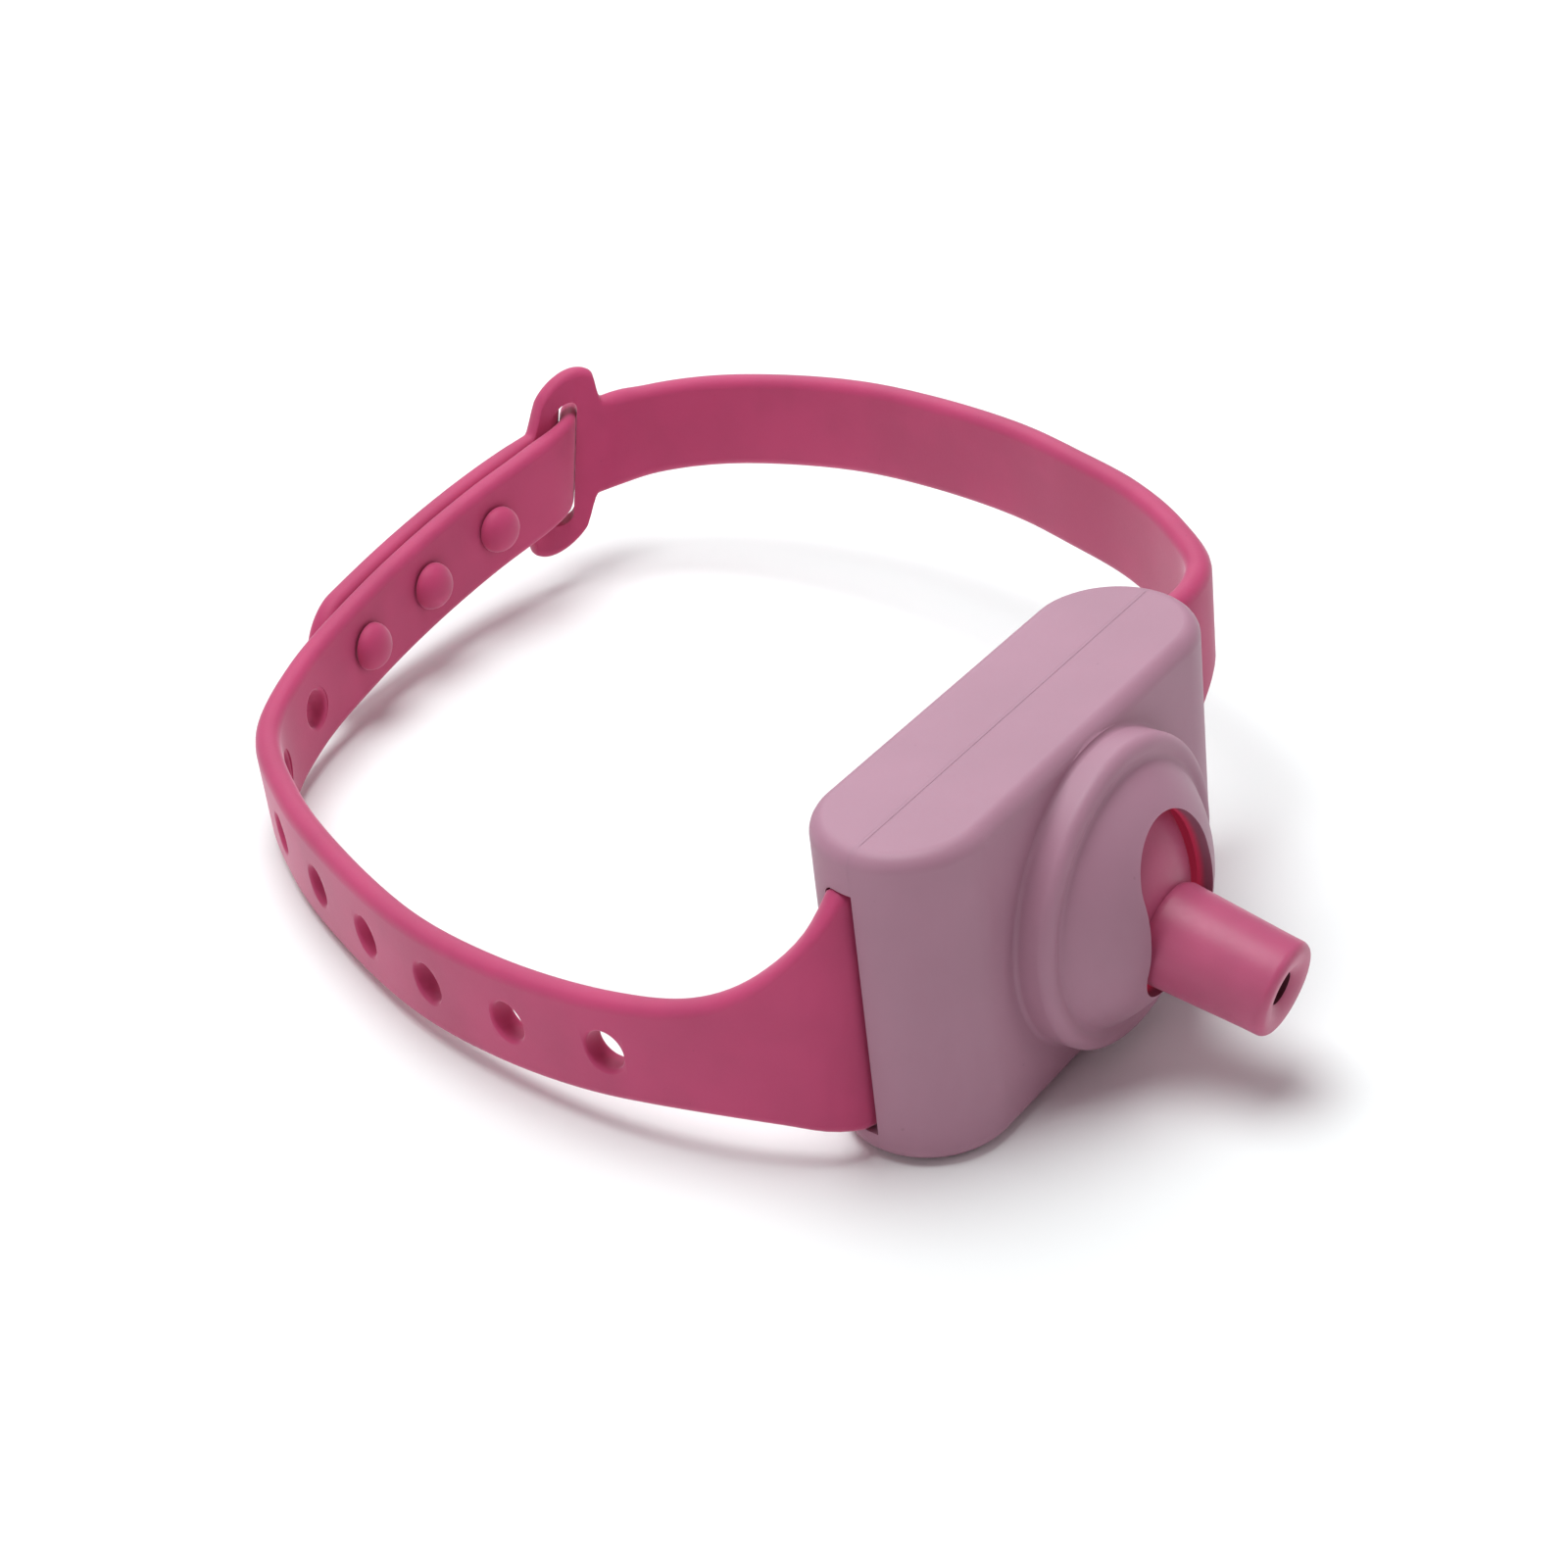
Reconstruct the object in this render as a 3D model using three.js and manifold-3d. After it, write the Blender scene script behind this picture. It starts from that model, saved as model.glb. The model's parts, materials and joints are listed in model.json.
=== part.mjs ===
// Pet collar with a swivelling laser: a pink plastic case on a silicone snap-stud strap.
// Millimetres, +X along the case, -Y out of the domed front, +Z up across the strap's width.
// The parts are laid out from the case's parting plane (y = 0); the whole group is then moved
// so that the origin is the middle of the flat rear face, which rests on the neck.
import * as THREE from "three";
import { mergeVertices } from "three/addons/utils/BufferGeometryUtils.js";
import Module from "manifold-3d";

const wasm = await Module();
wasm.setup();

// ---------------------------------------------------------------- driving dimensions
const GAP = 0.3; // air kept between touching pieces
const SLOT_AIR = 0.35; // air above and below each strap in its slot

const CASE_LENGTH = 47.7;
const CASE_HEIGHT = 30;
const FRONT_DEPTH = 7.95; // parting plane to the front face
const REAR_DEPTH = 7.3; // parting plane to the neck face
const CASE_WALL = 1.5;
const RIM_ROUND = 1.2;

const SWIVEL_Y = -1.83; // swivel axis, parallel to X, at mid height
const DOME_RADIUS = 14.8;
const DOME_WALL = 1.4;
const GROOVE_RADIUS = 11.7;
const BOSS_RADIUS = 13.7;
const SLOT_HALF_WIDTH = 5.17;
const SLOT_END = 8.55; // slot reaches this far above and below the middle

const NOZZLE_REST = 13; // degrees below level, resting at the slot's lower end
const NOZZLE_TIP = 24.0; // swivel axis to the tip
const NOZZLE_ROOT_RADIUS = 4.65;
const NOZZLE_TIP_RADIUS = 4.3;
const SHIELD_RADIUS = 13.0; // curved shield that closes the slot
const SHIELD_HALF_WIDTH = 4.3;
const SHIELD_SPREAD = 50; // degrees either side of the nozzle
const BORE_RADIUS = 3.3;

const BAND_WIDTH = 10.4;
const BAND_THICK = 2.5;
const FLARE_TOP = 10.9; // strap edges where it leaves the case
const FLARE_BOTTOM = -12.6;
const FLARE_LENGTH = 20;
const HOLE_RADIUS = 1.95;
const HOLE_PITCH = 11.05;
const FIRST_HOLE = 26.4; // from the strap's inner end
const HOLE_COUNT = 11;
const STUD_COUNT = 3;
const STUD_NECK_RADIUS = 1.6;
const STUD_HEAD_RADIUS = 2.6;
const EAR_HALF_HEIGHT = 9.8;
const EAR_LENGTH = 9.6;
const EAR_MIDDLE = 39.6; // from the tongue's tip
const EAR_LEAN = 0.28; // the ears' tops stand this far along X per millimetre of height
const EAR_SLOT_HALF_HEIGHT = 6.6;
const LOOP_DROOP = -0.099; // the loop sinks towards its back
const LOOP_LEAN = 0.153; // and leans towards the case's left end

const SCREW_X = 14.5;
const SCREW_Z = 11.5;
const BOARD_FRONT = 4.2; // front face of the main board
const BOARD_BACK = 5.0;
const SIDE_Y = 2.65; // row of the port, the button and the light on the underside
const PORT_X = 7;
const BUTTON_X = -7;
const LIGHT_X = 0;
const MOTOR_RADIUS = 3.5;

// ---------------------------------------------------------------- materials
const plastic = (color, roughness = 0.5) => new THREE.MeshStandardMaterial({ color, roughness });
const metal = (color, roughness = 0.35) =>
  new THREE.MeshStandardMaterial({ color, roughness, metalness: 1 });
const paint = {
  shell: plastic(0xeab9cf, 0.45),
  nozzle: plastic(0xd9608c, 0.4),
  silicone: plastic(0xdf5588, 0.6),
  frame: plastic(0xe9e6e2),
  brass: metal(0xc9a24a),
  steel: metal(0xb9bcc0),
  glass: plastic(0xdfe8f0, 0.05),
  board: plastic(0x1d6b3a),
  chip: plastic(0x191a1c),
  cell: metal(0xa9adb3, 0.5),
  foam: plastic(0x2b2b2d, 0.9),
  red: plastic(0xc02020),
  black: plastic(0x151515),
  light: plastic(0xf4f6f2, 0.3),
};

// ---------------------------------------------------------------- solids
function solid(geometry) {
  const bare = geometry.index ? geometry.toNonIndexed() : geometry;
  const only = new THREE.BufferGeometry().setAttribute("position", bare.getAttribute("position"));
  const merged = mergeVertices(only, 1e-4);
  const make = (triVerts) =>
    new wasm.Manifold(
      new wasm.Mesh({ numProp: 3, vertProperties: merged.attributes.position.array, triVerts }),
    );
  const faces = Uint32Array.from(merged.index.array);
  const made = make(faces);
  if (made.volume() > 0) return made;
  for (let i = 0; i < faces.length; i += 3) {
    [faces[i + 1], faces[i + 2]] = [faces[i + 2], faces[i + 1]];
  }
  return make(faces);
}

const join = (...pieces) => pieces.reduce((all, piece) => all.add(piece));
const cut = (body, ...tools) => tools.reduce((rest, tool) => rest.subtract(tool), body);

function mesh(name, body, material) {
  const { vertProperties, triVerts } = body.getMesh();
  const geometry = new THREE.BufferGeometry();
  geometry.setAttribute("position", new THREE.BufferAttribute(vertProperties, 3));
  geometry.setIndex(new THREE.BufferAttribute(triVerts, 1));
  geometry.computeVertexNormals();
  const piece = new THREE.Mesh(geometry, material);
  piece.name = name;
  return piece;
}

function box(x0, x1, y0, y1, z0, z1) {
  const g = new THREE.BoxGeometry(x1 - x0, y1 - y0, z1 - z0);
  return solid(g.translate((x0 + x1) / 2, (y0 + y1) / 2, (z0 + z1) / 2));
}

function rodX(radius, x0, x1, y, z, sides = 20) {
  const g = new THREE.CylinderGeometry(radius, radius, x1 - x0, sides);
  return solid(g.rotateZ(Math.PI / 2).translate((x0 + x1) / 2, y, z));
}

function rodY(radius, y0, y1, x, z, sides = 20) {
  const g = new THREE.CylinderGeometry(radius, radius, y1 - y0, sides);
  return solid(g.translate(x, (y0 + y1) / 2, z));
}

function rodZ(radius, z0, z1, x, y, sides = 20) {
  const g = new THREE.CylinderGeometry(radius, radius, z1 - z0, sides);
  return solid(g.rotateX(Math.PI / 2).translate(x, y, (z0 + z1) / 2));
}

// A turned piece about the Y axis: profile points are [radius, y], first and last on the axis.
function turned(profile, sides = 48) {
  const points = profile.map(([radius, y]) => new THREE.Vector2(radius, y));
  return solid(new THREE.LatheGeometry(points, sides));
}

// A prism along X from points [y, z].
function prismX(points, x0, x1) {
  const shape = new THREE.Shape(points.map(([y, z]) => new THREE.Vector2(y, z)));
  const g = new THREE.ExtrudeGeometry(shape, { depth: x1 - x0, bevelEnabled: false });
  const turn = new THREE.Matrix4().makeBasis(
    new THREE.Vector3(0, 1, 0),
    new THREE.Vector3(0, 0, 1),
    new THREE.Vector3(1, 0, 0),
  );
  return solid(g.applyMatrix4(turn).translate(x0, 0, 0));
}

function tube(points, radius, steps, sides = 8) {
  const curve = new THREE.CatmullRomCurve3(points.map((p) => new THREE.Vector3(...p)));
  const round = new THREE.Shape().absarc(0, 0, radius, 0, 2 * Math.PI);
  const options = { extrudePath: curve, steps, curveSegments: sides / 2 };
  return solid(new THREE.ExtrudeGeometry(round, options));
}

// ---------------------------------------------------------------- case
// The case outline, a bar with full-round ends in plan, inset by a wall and rounded at its rims.
function caseBlock(inset, rim) {
  const radius = (FRONT_DEPTH + REAR_DEPTH) / 2 - inset;
  const straight = CASE_LENGTH / 2 - (FRONT_DEPTH + REAR_DEPTH) / 2;
  const middle = (REAR_DEPTH - FRONT_DEPTH) / 2;
  const shape = new THREE.Shape();
  shape.absarc(straight, middle, radius, -Math.PI / 2, Math.PI / 2);
  shape.absarc(-straight, middle, radius, Math.PI / 2, 1.5 * Math.PI);
  const depth = CASE_HEIGHT - 2 * inset - 2 * rim;
  const g = new THREE.ExtrudeGeometry(shape, {
    depth,
    curveSegments: 10,
    bevelEnabled: rim > 0,
    bevelThickness: rim,
    bevelSize: rim,
    bevelOffset: -rim,
    bevelSegments: 3,
  });
  return solid(g.translate(0, 0, -depth / 2));
}

const FAR = 60;
const frontHalf = () => box(-FAR, FAR, -FAR, 0, -FAR, FAR);
const rearHalf = () => box(-FAR, FAR, 0, FAR, -FAR, FAR);
const corners = [
  [-SCREW_X, -SCREW_Z],
  [-SCREW_X, SCREW_Z],
  [SCREW_X, -SCREW_Z],
  [SCREW_X, SCREW_Z],
];

// Stepped boss: a flared foot, a rounded ring, a groove and then the dome.
function domeBoss() {
  const face = -FRONT_DEPTH;
  const grooveY = SWIVEL_Y - Math.sqrt(DOME_RADIUS ** 2 - GROOVE_RADIUS ** 2);
  const ring = [
    [0, face + 0.9],
    [BOSS_RADIUS + 0.6, face + 0.9],
    [BOSS_RADIUS + 0.6, face],
    [BOSS_RADIUS + 0.2, face - 0.45],
    [BOSS_RADIUS, face - 1.2],
    [BOSS_RADIUS - 0.1, grooveY + 0.7],
    [BOSS_RADIUS - 0.5, grooveY],
    [BOSS_RADIUS - 1.1, grooveY - 0.2],
  ];
  const start = Math.asin(GROOVE_RADIUS / DOME_RADIUS);
  const steps = 12;
  const dome = [];
  for (let i = 0; i <= steps; i++) {
    const a = start * (1 - i / steps);
    dome.push([i === steps ? 0 : DOME_RADIUS * Math.sin(a), SWIVEL_Y - DOME_RADIUS * Math.cos(a)]);
  }
  return turned([...ring, ...dome], 56);
}

function slotTool() {
  const shape = new THREE.Shape();
  const middle = SLOT_END - SLOT_HALF_WIDTH;
  shape.absarc(0, middle, SLOT_HALF_WIDTH, 0, Math.PI);
  shape.absarc(0, -middle, SLOT_HALF_WIDTH, Math.PI, 2 * Math.PI);
  const g = new THREE.ExtrudeGeometry(shape, { depth: 14, bevelEnabled: false, curveSegments: 12 });
  return solid(g.rotateX(Math.PI / 2).translate(0, -FRONT_DEPTH, 0));
}

function ball(radius, across = 48) {
  const g = new THREE.SphereGeometry(radius, across, across / 2);
  return solid(g.rotateZ(Math.PI / 2).translate(0, SWIVEL_Y, 0));
}

const anchorPins = [-1, 1].flatMap((side) => [-6.5, 0, 6.5].map((z) => [side * 20.9, z]));
const stakePins = [-1, 1].flatMap((side) => [-11.7, 11.7].map((z) => [side * 9.3, z]));
const CLAMP_X = 15.4;
const CLAMP_SCREW_Z = 6.6;

function frontShell() {
  const inside = -FRONT_DEPTH + CASE_WALL;
  let body = join(caseBlock(0, RIM_ROUND).intersect(frontHalf()), domeBoss());
  body = cut(body, caseBlock(CASE_WALL, 0));
  const cavity = ball(DOME_RADIUS - DOME_WALL).intersect(box(-FAR, FAR, -FAR, inside + 0.1, -FAR, FAR));
  body = cut(body, cavity, slotTool());
  const posts = [
    ...corners.map(([x, z]) => rodY(2.2, inside - 0.5, -0.15, x, z)),
    ...[-1, 1].map((s) => rodY(1.7, inside - 0.5, -2.15, CLAMP_X, s * CLAMP_SCREW_Z, 16)),
    ...stakePins.map(([x, z]) => rodY(0.8, inside - 0.5, -4.6, x, z, 12)),
    ...anchorPins.map(([x, z]) => rodY(1.0, -4.9, 2.9, x, z, 12)),
  ];
  const bores = [
    ...corners.map(([x, z]) => rodY(1.15, -5.2, 0.5, x, z, 16)),
    ...[-1, 1].map((s) => rodY(0.9, -5.2, 0, CLAMP_X, s * CLAMP_SCREW_Z, 12)),
  ];
  return cut(join(body, ...posts), ...bores);
}

function rearShell() {
  const inside = REAR_DEPTH - CASE_WALL;
  let body = caseBlock(0, RIM_ROUND).intersect(rearHalf());
  body = cut(body, caseBlock(CASE_WALL, 0));
  const posts = corners.map(([x, z]) => rodY(2.2, GAP, inside + 0.5, x, z));
  const rests = [-1, 1].flatMap((s) => [-1, 1].map((t) => [s * 6, t * 9]));
  const boardRests = rests.map(([x, z]) => rodY(1.2, BOARD_BACK + GAP, inside + 0.5, x, z, 12));
  const strapSlots = [-1, 1].map((s) => {
    const reach = [s * 19, s * 26].sort((a, b) => a - b);
    return box(...reach, -1, 3.05, FLARE_BOTTOM - SLOT_AIR, FLARE_TOP + SLOT_AIR);
  });
  const floor = -CASE_HEIGHT / 2;
  const underside = [
    box(PORT_X - 6.35, PORT_X + 6.35, SIDE_Y - 2.2, SIDE_Y + 2.2, floor - 1, floor + 0.95),
    box(PORT_X - 4.15, PORT_X + 4.15, SIDE_Y - 1.6, SIDE_Y + 1.6, floor, floor + 2),
    rodZ(2.3, floor - 1, floor + 2, BUTTON_X, SIDE_Y),
    rodZ(1.2, floor - 1, floor + 2, LIGHT_X, SIDE_Y, 16),
  ];
  const screwBores = corners.flatMap(([x, z]) => [
    rodY(1.15, -1, REAR_DEPTH, x, z, 16),
    rodY(1.95, 5.2, REAR_DEPTH + 1, x, z),
  ]);
  body = join(cut(body, ...strapSlots), ...posts, ...boardRests);
  return cut(body, ...underside, ...screwBores);
}

function screw(headRadius, headTop, headDepth, shankRadius, shankEnd, x, z, sides = 16) {
  const head = rodY(headRadius, headTop - headDepth, headTop, x, z, sides);
  const slotDepth = headDepth * 0.4;
  const arms = [
    box(x - 0.7 * headRadius, x + 0.7 * headRadius, headTop - slotDepth, headTop + 1, z - 0.2, z + 0.2),
    box(x - 0.2, x + 0.2, headTop - slotDepth, headTop + 1, z - 0.7 * headRadius, z + 0.7 * headRadius),
  ];
  const shank = rodY(shankRadius, shankEnd, headTop - headDepth + 0.1, x, z, sides);
  return cut(join(head, shank), ...arms);
}

// ---------------------------------------------------------------- swivelling head
// Built about the swivel axis with the nozzle level along -Y, then turned down to its rest angle.
function nozzleHead() {
  const rad = Math.PI / 180;
  const shieldBall = (radius) =>
    solid(new THREE.SphereGeometry(radius, 40, 28).rotateZ(Math.PI / 2));
  const sector = [[0, 0]];
  for (let i = 0; i <= 6; i++) {
    const a = (-1 + (2 * i) / 6) * SHIELD_SPREAD * rad;
    sector.push([-20 * Math.cos(a), 20 * Math.sin(a)]);
  }
  const half = SHIELD_HALF_WIDTH;
  const shield = cut(shieldBall(SHIELD_RADIUS), shieldBall(SHIELD_RADIUS - 1.6)).intersect(
    prismX(sector, -half, half),
  );
  const cheek = [
    [2.5, -2.8],
    [2.5, 2.8],
    [-11.4, 5.2],
    [-11.4, -5.2],
  ];
  const root = SHIELD_RADIUS - 0.4;
  const outside = turned(
    [
      [0, -4],
      [4.2, -4],
      [4.2, -root + 0.8],
      [NOZZLE_ROOT_RADIUS, -root],
      [NOZZLE_TIP_RADIUS, -NOZZLE_TIP + 0.6],
      [NOZZLE_TIP_RADIUS - 0.2, -NOZZLE_TIP + 0.17],
      [NOZZLE_TIP_RADIUS - 0.6, -NOZZLE_TIP],
      [0, -NOZZLE_TIP],
    ],
    32,
  );
  const bore = turned(
    [
      [0, 4],
      [BORE_RADIUS, 4],
      [BORE_RADIUS, -NOZZLE_TIP + 3.9],
      [1.1, -NOZZLE_TIP + 3.9],
      [1.1, -NOZZLE_TIP + 2.2],
      [2.6, -NOZZLE_TIP - 0.1],
      [0, -NOZZLE_TIP - 0.1],
    ],
    24,
  );
  const cheeks = [-1, 1].map((s) => prismX(cheek, s > 0 ? half - 1.2 : -half, s > 0 ? half : 1.2 - half));
  const hubs = [rodX(2.4, half - 0.1, 5.9, 0, 0), rodX(1.6, -8.0, 0.1 - half, 0, 0)];
  const bores = [rodX(1.05, 0, 7, 0, 0, 14), rodX(0.9, -9, 0, 0, 0, 14)];
  return cut(join(shield, outside, ...cheeks, ...hubs), bore, ...bores);
}

function swivelHead() {
  const head = new THREE.Group();
  head.position.y = SWIVEL_Y;
  head.rotation.x = (NOZZLE_REST * Math.PI) / 180;
  const barrelFront = -NOZZLE_TIP + 3.9 + GAP;
  const ringOf = (outer, inner, y0, y1) => cut(rodY(outer, y0, y1, 0, 0), rodY(inner, y0 - 1, y1 + 1, 0, 0));
  const coil = [];
  for (let i = 0; i <= 36; i++) {
    const a = (i / 9) * 2 * Math.PI;
    coil.push([1.7 * Math.cos(a), barrelFront + 2.9 + (i / 36) * 3.2, 1.7 * Math.sin(a)]);
  }
  const diode = join(
    rodY(1.5, barrelFront + 7.2, barrelFront + 9.6, 0, 0, 16),
    rodY(2.0, barrelFront + 9.0, barrelFront + 9.8, 0, 0, 16),
  );
  head.add(
    mesh("nozzle_head", nozzleHead(), paint.nozzle),
    mesh("laser_barrel", ringOf(3.0, 2.3, barrelFront, barrelFront + 10), paint.brass),
    mesh("lens_retaining_ring", ringOf(2.0, 1.3, barrelFront + 0.2, barrelFront + 0.7), paint.brass),
    mesh("laser_lens", rodY(2.0, barrelFront + 1.0, barrelFront + 2.3, 0, 0), paint.glass),
    mesh("lens_spring", tube(coil, 0.2, 48, 6), paint.steel),
    mesh("laser_diode", diode, paint.brass),
    mesh("laser_driver_board", box(-2.2, 2.2, -7.6, -0.9, -0.4, 0.4), paint.board),
    mesh("laser_pigtail", rodX(0.5, -7.7, -1.6, 0, 0, 10), paint.red),
    mesh("motor_shaft", rodX(0.75, 3.0, 9.6, 0, 0, 12), paint.steel),
  );
  return head;
}

// ---------------------------------------------------------------- brackets and motor
function swivelBracket(side, hubRadius) {
  const foot = -FRONT_DEPTH + CASE_WALL + GAP;
  const outline = [
    [foot, -13],
    [foot + 1.3, -13],
    [foot + 1.3, -5.5],
    [SWIVEL_Y + 2.8, -3.2],
    [SWIVEL_Y + 2.8, 3.2],
    [foot + 1.3, 5.5],
    [foot + 1.3, 13],
    [foot, 13],
  ];
  const near = side > 0 ? 6.2 : -7.6;
  const plate = prismX(outline, near, near + 1.4);
  const reach = [side * 7, side * 11.2].sort((a, b) => a - b);
  const feet = [-1, 1].map((s) => {
    const rise = [s * 10.1, s * 13].sort((a, b) => a - b);
    return box(...reach, foot, foot + 1.2, ...rise);
  });
  const holes = stakePins
    .filter(([x]) => x * side > 0)
    .map(([x, z]) => rodY(1.1, -FAR, FAR, x, z, 12));
  return cut(join(plate, ...feet), rodX(hubRadius, near - 1, near + 3, SWIVEL_Y, 0), ...holes);
}

function motorClamp() {
  const saddle = box(13.8, 17, SWIVEL_Y, 2.2, -4.7, 4.7);
  const ears = box(13.8, 17, SWIVEL_Y, SWIVEL_Y + 1.1, -8.3, 8.3);
  const holes = [-1, 1].map((s) => rodY(0.9, -9, 9, CLAMP_X, s * CLAMP_SCREW_Z, 12));
  return cut(join(saddle, ears), rodX(MOTOR_RADIUS + GAP, 12, 19, SWIVEL_Y, 0), ...holes);
}

function motorPieces() {
  const gearbox = cut(
    join(rodX(MOTOR_RADIUS, 7.9, 12.9, SWIVEL_Y, 0), rodX(1.9, 6.4, 8, SWIVEL_Y, 0, 16)),
    rodX(1.05, 6, 10.2, SWIVEL_Y, 0, 14),
  );
  const lead = (z) => rodY(0.4, MOTOR_RADIUS + SWIVEL_Y + GAP, BOARD_FRONT - GAP, 17.8, z, 10);
  const earTop = SWIVEL_Y + 1.1;
  const clampScrew = (z) => screw(1.3, earTop + GAP + 0.9, 0.9, 0.6, -4.8, CLAMP_X, z, 12);
  return [
    mesh("motor_gearbox", gearbox, paint.steel),
    mesh("motor_can", rodX(MOTOR_RADIUS, 13.2, 19, SWIVEL_Y, 0), paint.steel),
    mesh("motor_clamp", motorClamp(), paint.frame),
    mesh("motor_clamp_screw_1", clampScrew(-CLAMP_SCREW_Z), paint.steel),
    mesh("motor_clamp_screw_2", clampScrew(CLAMP_SCREW_Z), paint.steel),
    mesh("motor_bracket", swivelBracket(1, 2.2), paint.frame),
    mesh("pivot_bracket", swivelBracket(-1, 1.9), paint.frame),
    mesh("motor_lead_red", lead(1.2), paint.red),
    mesh("motor_lead_black", lead(-1.2), paint.black),
  ];
}

// ---------------------------------------------------------------- electronics
function boardPieces() {
  const front = BOARD_FRONT - GAP;
  const floor = -CASE_HEIGHT / 2;
  const board = cut(
    join(
      box(-11.8, 11.8, BOARD_FRONT, BOARD_BACK, -12.9, 12.9),
      box(-18, 18, BOARD_FRONT, BOARD_BACK, -8.6, 8.6),
    ),
    box(BUTTON_X - 3, BUTTON_X + 3, BOARD_FRONT - 1, BOARD_BACK + 1, -13.5, -12.1),
  );
  const port = cut(
    box(PORT_X - 3.75, PORT_X + 3.75, front - 2.5, front, floor + 1.25, floor + 6.3),
    box(PORT_X - 3.35, PORT_X + 3.35, front - 2.1, front - 0.4, floor, floor + 5.5),
  );
  const switchBody = cut(
    box(BUTTON_X - 2.2, BUTTON_X + 2.2, front - 2.4, front, floor + 3, floor + 6),
    rodZ(1.1, floor + 2, floor + 4.9, BUTTON_X, SIDE_Y, 12),
  );
  const batteryLead = (x) =>
    tube([[x, -0.6, 8.9], [x, 0.2, 10.2], [x, 2.2, 10.9], [x, front, 10.9]], 0.4, 8);
  return [
    mesh("main_board", board, paint.board),
    mesh("controller_chip", box(-3, 3, front - 1, front, 2, 8), paint.chip),
    mesh("charge_chip", box(5, 8, front - 1, front, -6.5, -3.5), paint.chip),
    mesh("board_capacitor", box(-3.5, -1.5, front - 1.2, front, -6, -4.8), paint.brass),
    mesh("charging_port", port, paint.steel),
    mesh("switch_body", switchBody, paint.black),
    mesh("status_led", box(-0.8, 0.8, front - 1.6, front, floor + 2.6, floor + 4.2), paint.light),
    mesh("battery_cell", box(-19, -9.2, -4.9, 3.0, -8.6, 8.6), paint.cell),
    mesh("battery_pad", box(-17, -10, -6.1, -5.2, -7, 7), paint.foam),
    mesh("battery_lead_red", batteryLead(-10), paint.red),
    mesh("battery_lead_black", batteryLead(-11.2), paint.black),
    mesh("laser_lead", rodY(0.4, SWIVEL_Y - 0.6, front, -8.4, 0, 10), paint.red),
  ];
}

function lightPipe() {
  const floor = -CASE_HEIGHT / 2;
  const stem = rodZ(0.9, floor + 0.1, floor + 2.2, LIGHT_X, SIDE_Y, 16);
  return join(stem, rodZ(1.5, floor + 1.85, floor + 2.25, LIGHT_X, SIDE_Y, 16));
}

function buttonPieces() {
  const floor = -CASE_HEIGHT / 2;
  const cap = join(
    rodZ(2.0, floor + 0.1, floor + 2, BUTTON_X, SIDE_Y),
    rodZ(2.55, floor + 1.85, floor + 2.1, BUTTON_X, SIDE_Y),
  );
  return [
    mesh("power_button", cap, paint.nozzle),
    mesh("switch_plunger", rodZ(0.8, floor + 2.4, floor + 3.9, BUTTON_X, SIDE_Y, 12), paint.black),
  ];
}

// The cover's far end is rounded about its hinge line, and its tongue sits in the port's mouth.
function portCover() {
  const floor = -CASE_HEIGHT / 2;
  const thick = 0.7;
  const left = PORT_X - 6;
  const right = PORT_X + 6 - thick / 2;
  const middle = floor + thick / 2;
  const plate = box(left, right, SIDE_Y - 1.85, SIDE_Y + 1.85, floor, floor + thick);
  const end = rodY(thick / 2, SIDE_Y - 1.85, SIDE_Y + 1.85, right, middle, 12);
  const tongue = box(PORT_X - 2.6, PORT_X + 2.6, SIDE_Y - 0.5, SIDE_Y + 0.5, middle, floor + 1.9);
  return join(plate, end, tongue);
}

// ---------------------------------------------------------------- strap
const smooth = (t) => {
  const u = Math.min(1, Math.max(0, t));
  return u * u * (3 - 2 * u);
};

// The strap's middle line lies in the loop's own tilted plane.
const strapLine = (points) =>
  new THREE.CatmullRomCurve3(
    points.map(([x, y]) => new THREE.Vector3(x, y, LOOP_DROOP * y + LOOP_LEAN * x)),
    false,
    "centripetal",
  );

// The strap with holes: from the case's left end round the back, along the inside of the tongue
// and out through the slot in the ears.
const holeLine = strapLine([
  [-19.4, 1.5],
  [-21.2, 1.5],
  [-23.0, 1.6],
  [-25.3, 3.2],
  [-27.0, 6.8],
  [-28.6, 12],
  [-29.7, 18.5],
  [-30, 26],
  [-29.1, 36],
  [-26.6, 47.3],
  [-20.7, 62],
  [-14.5, 73.6],
  [-6.8, 83.3],
  [2.8, 87.7],
  [13.7, 89.5],
  [24, 90],
  [34, 89.4],
  [42, 88.1],
  [46.6, 87.8],
  [50.3, 90.0],
  [53.8, 90.6],
]);

// The strap with studs: from the tongue's tip through the ears and down the right side.
const studLine = strapLine([
  [8.9, 91.9],
  [14, 92.4],
  [24, 92.8],
  [34, 92.2],
  [42.5, 90.6],
  [48.6, 88.3],
  [52.6, 85.4],
  [55.7, 81],
  [58, 75],
  [59.3, 66.5],
  [59.4, 56],
  [57.7, 45],
  [54.6, 33.3],
  [51.1, 24.6],
  [47.1, 15.9],
  [42, 8.2],
  [36.4, 2.5],
  [31.6, 1.3],
  [27.6, 1.6],
  [23.6, 1.5],
  [21.2, 1.5],
  [19.4, 1.5],
]);

// Position and directions at a distance along a line: across is up, and out points away from the neck.
function frameAt(line, distance) {
  const u = distance / line.getLength();
  const ahead = line.getTangentAt(u);
  const across = new THREE.Vector3(0, 0, 1);
  const out = new THREE.Vector3().crossVectors(across, ahead).normalize();
  return { at: line.getPointAt(u), across, out };
}

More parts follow.
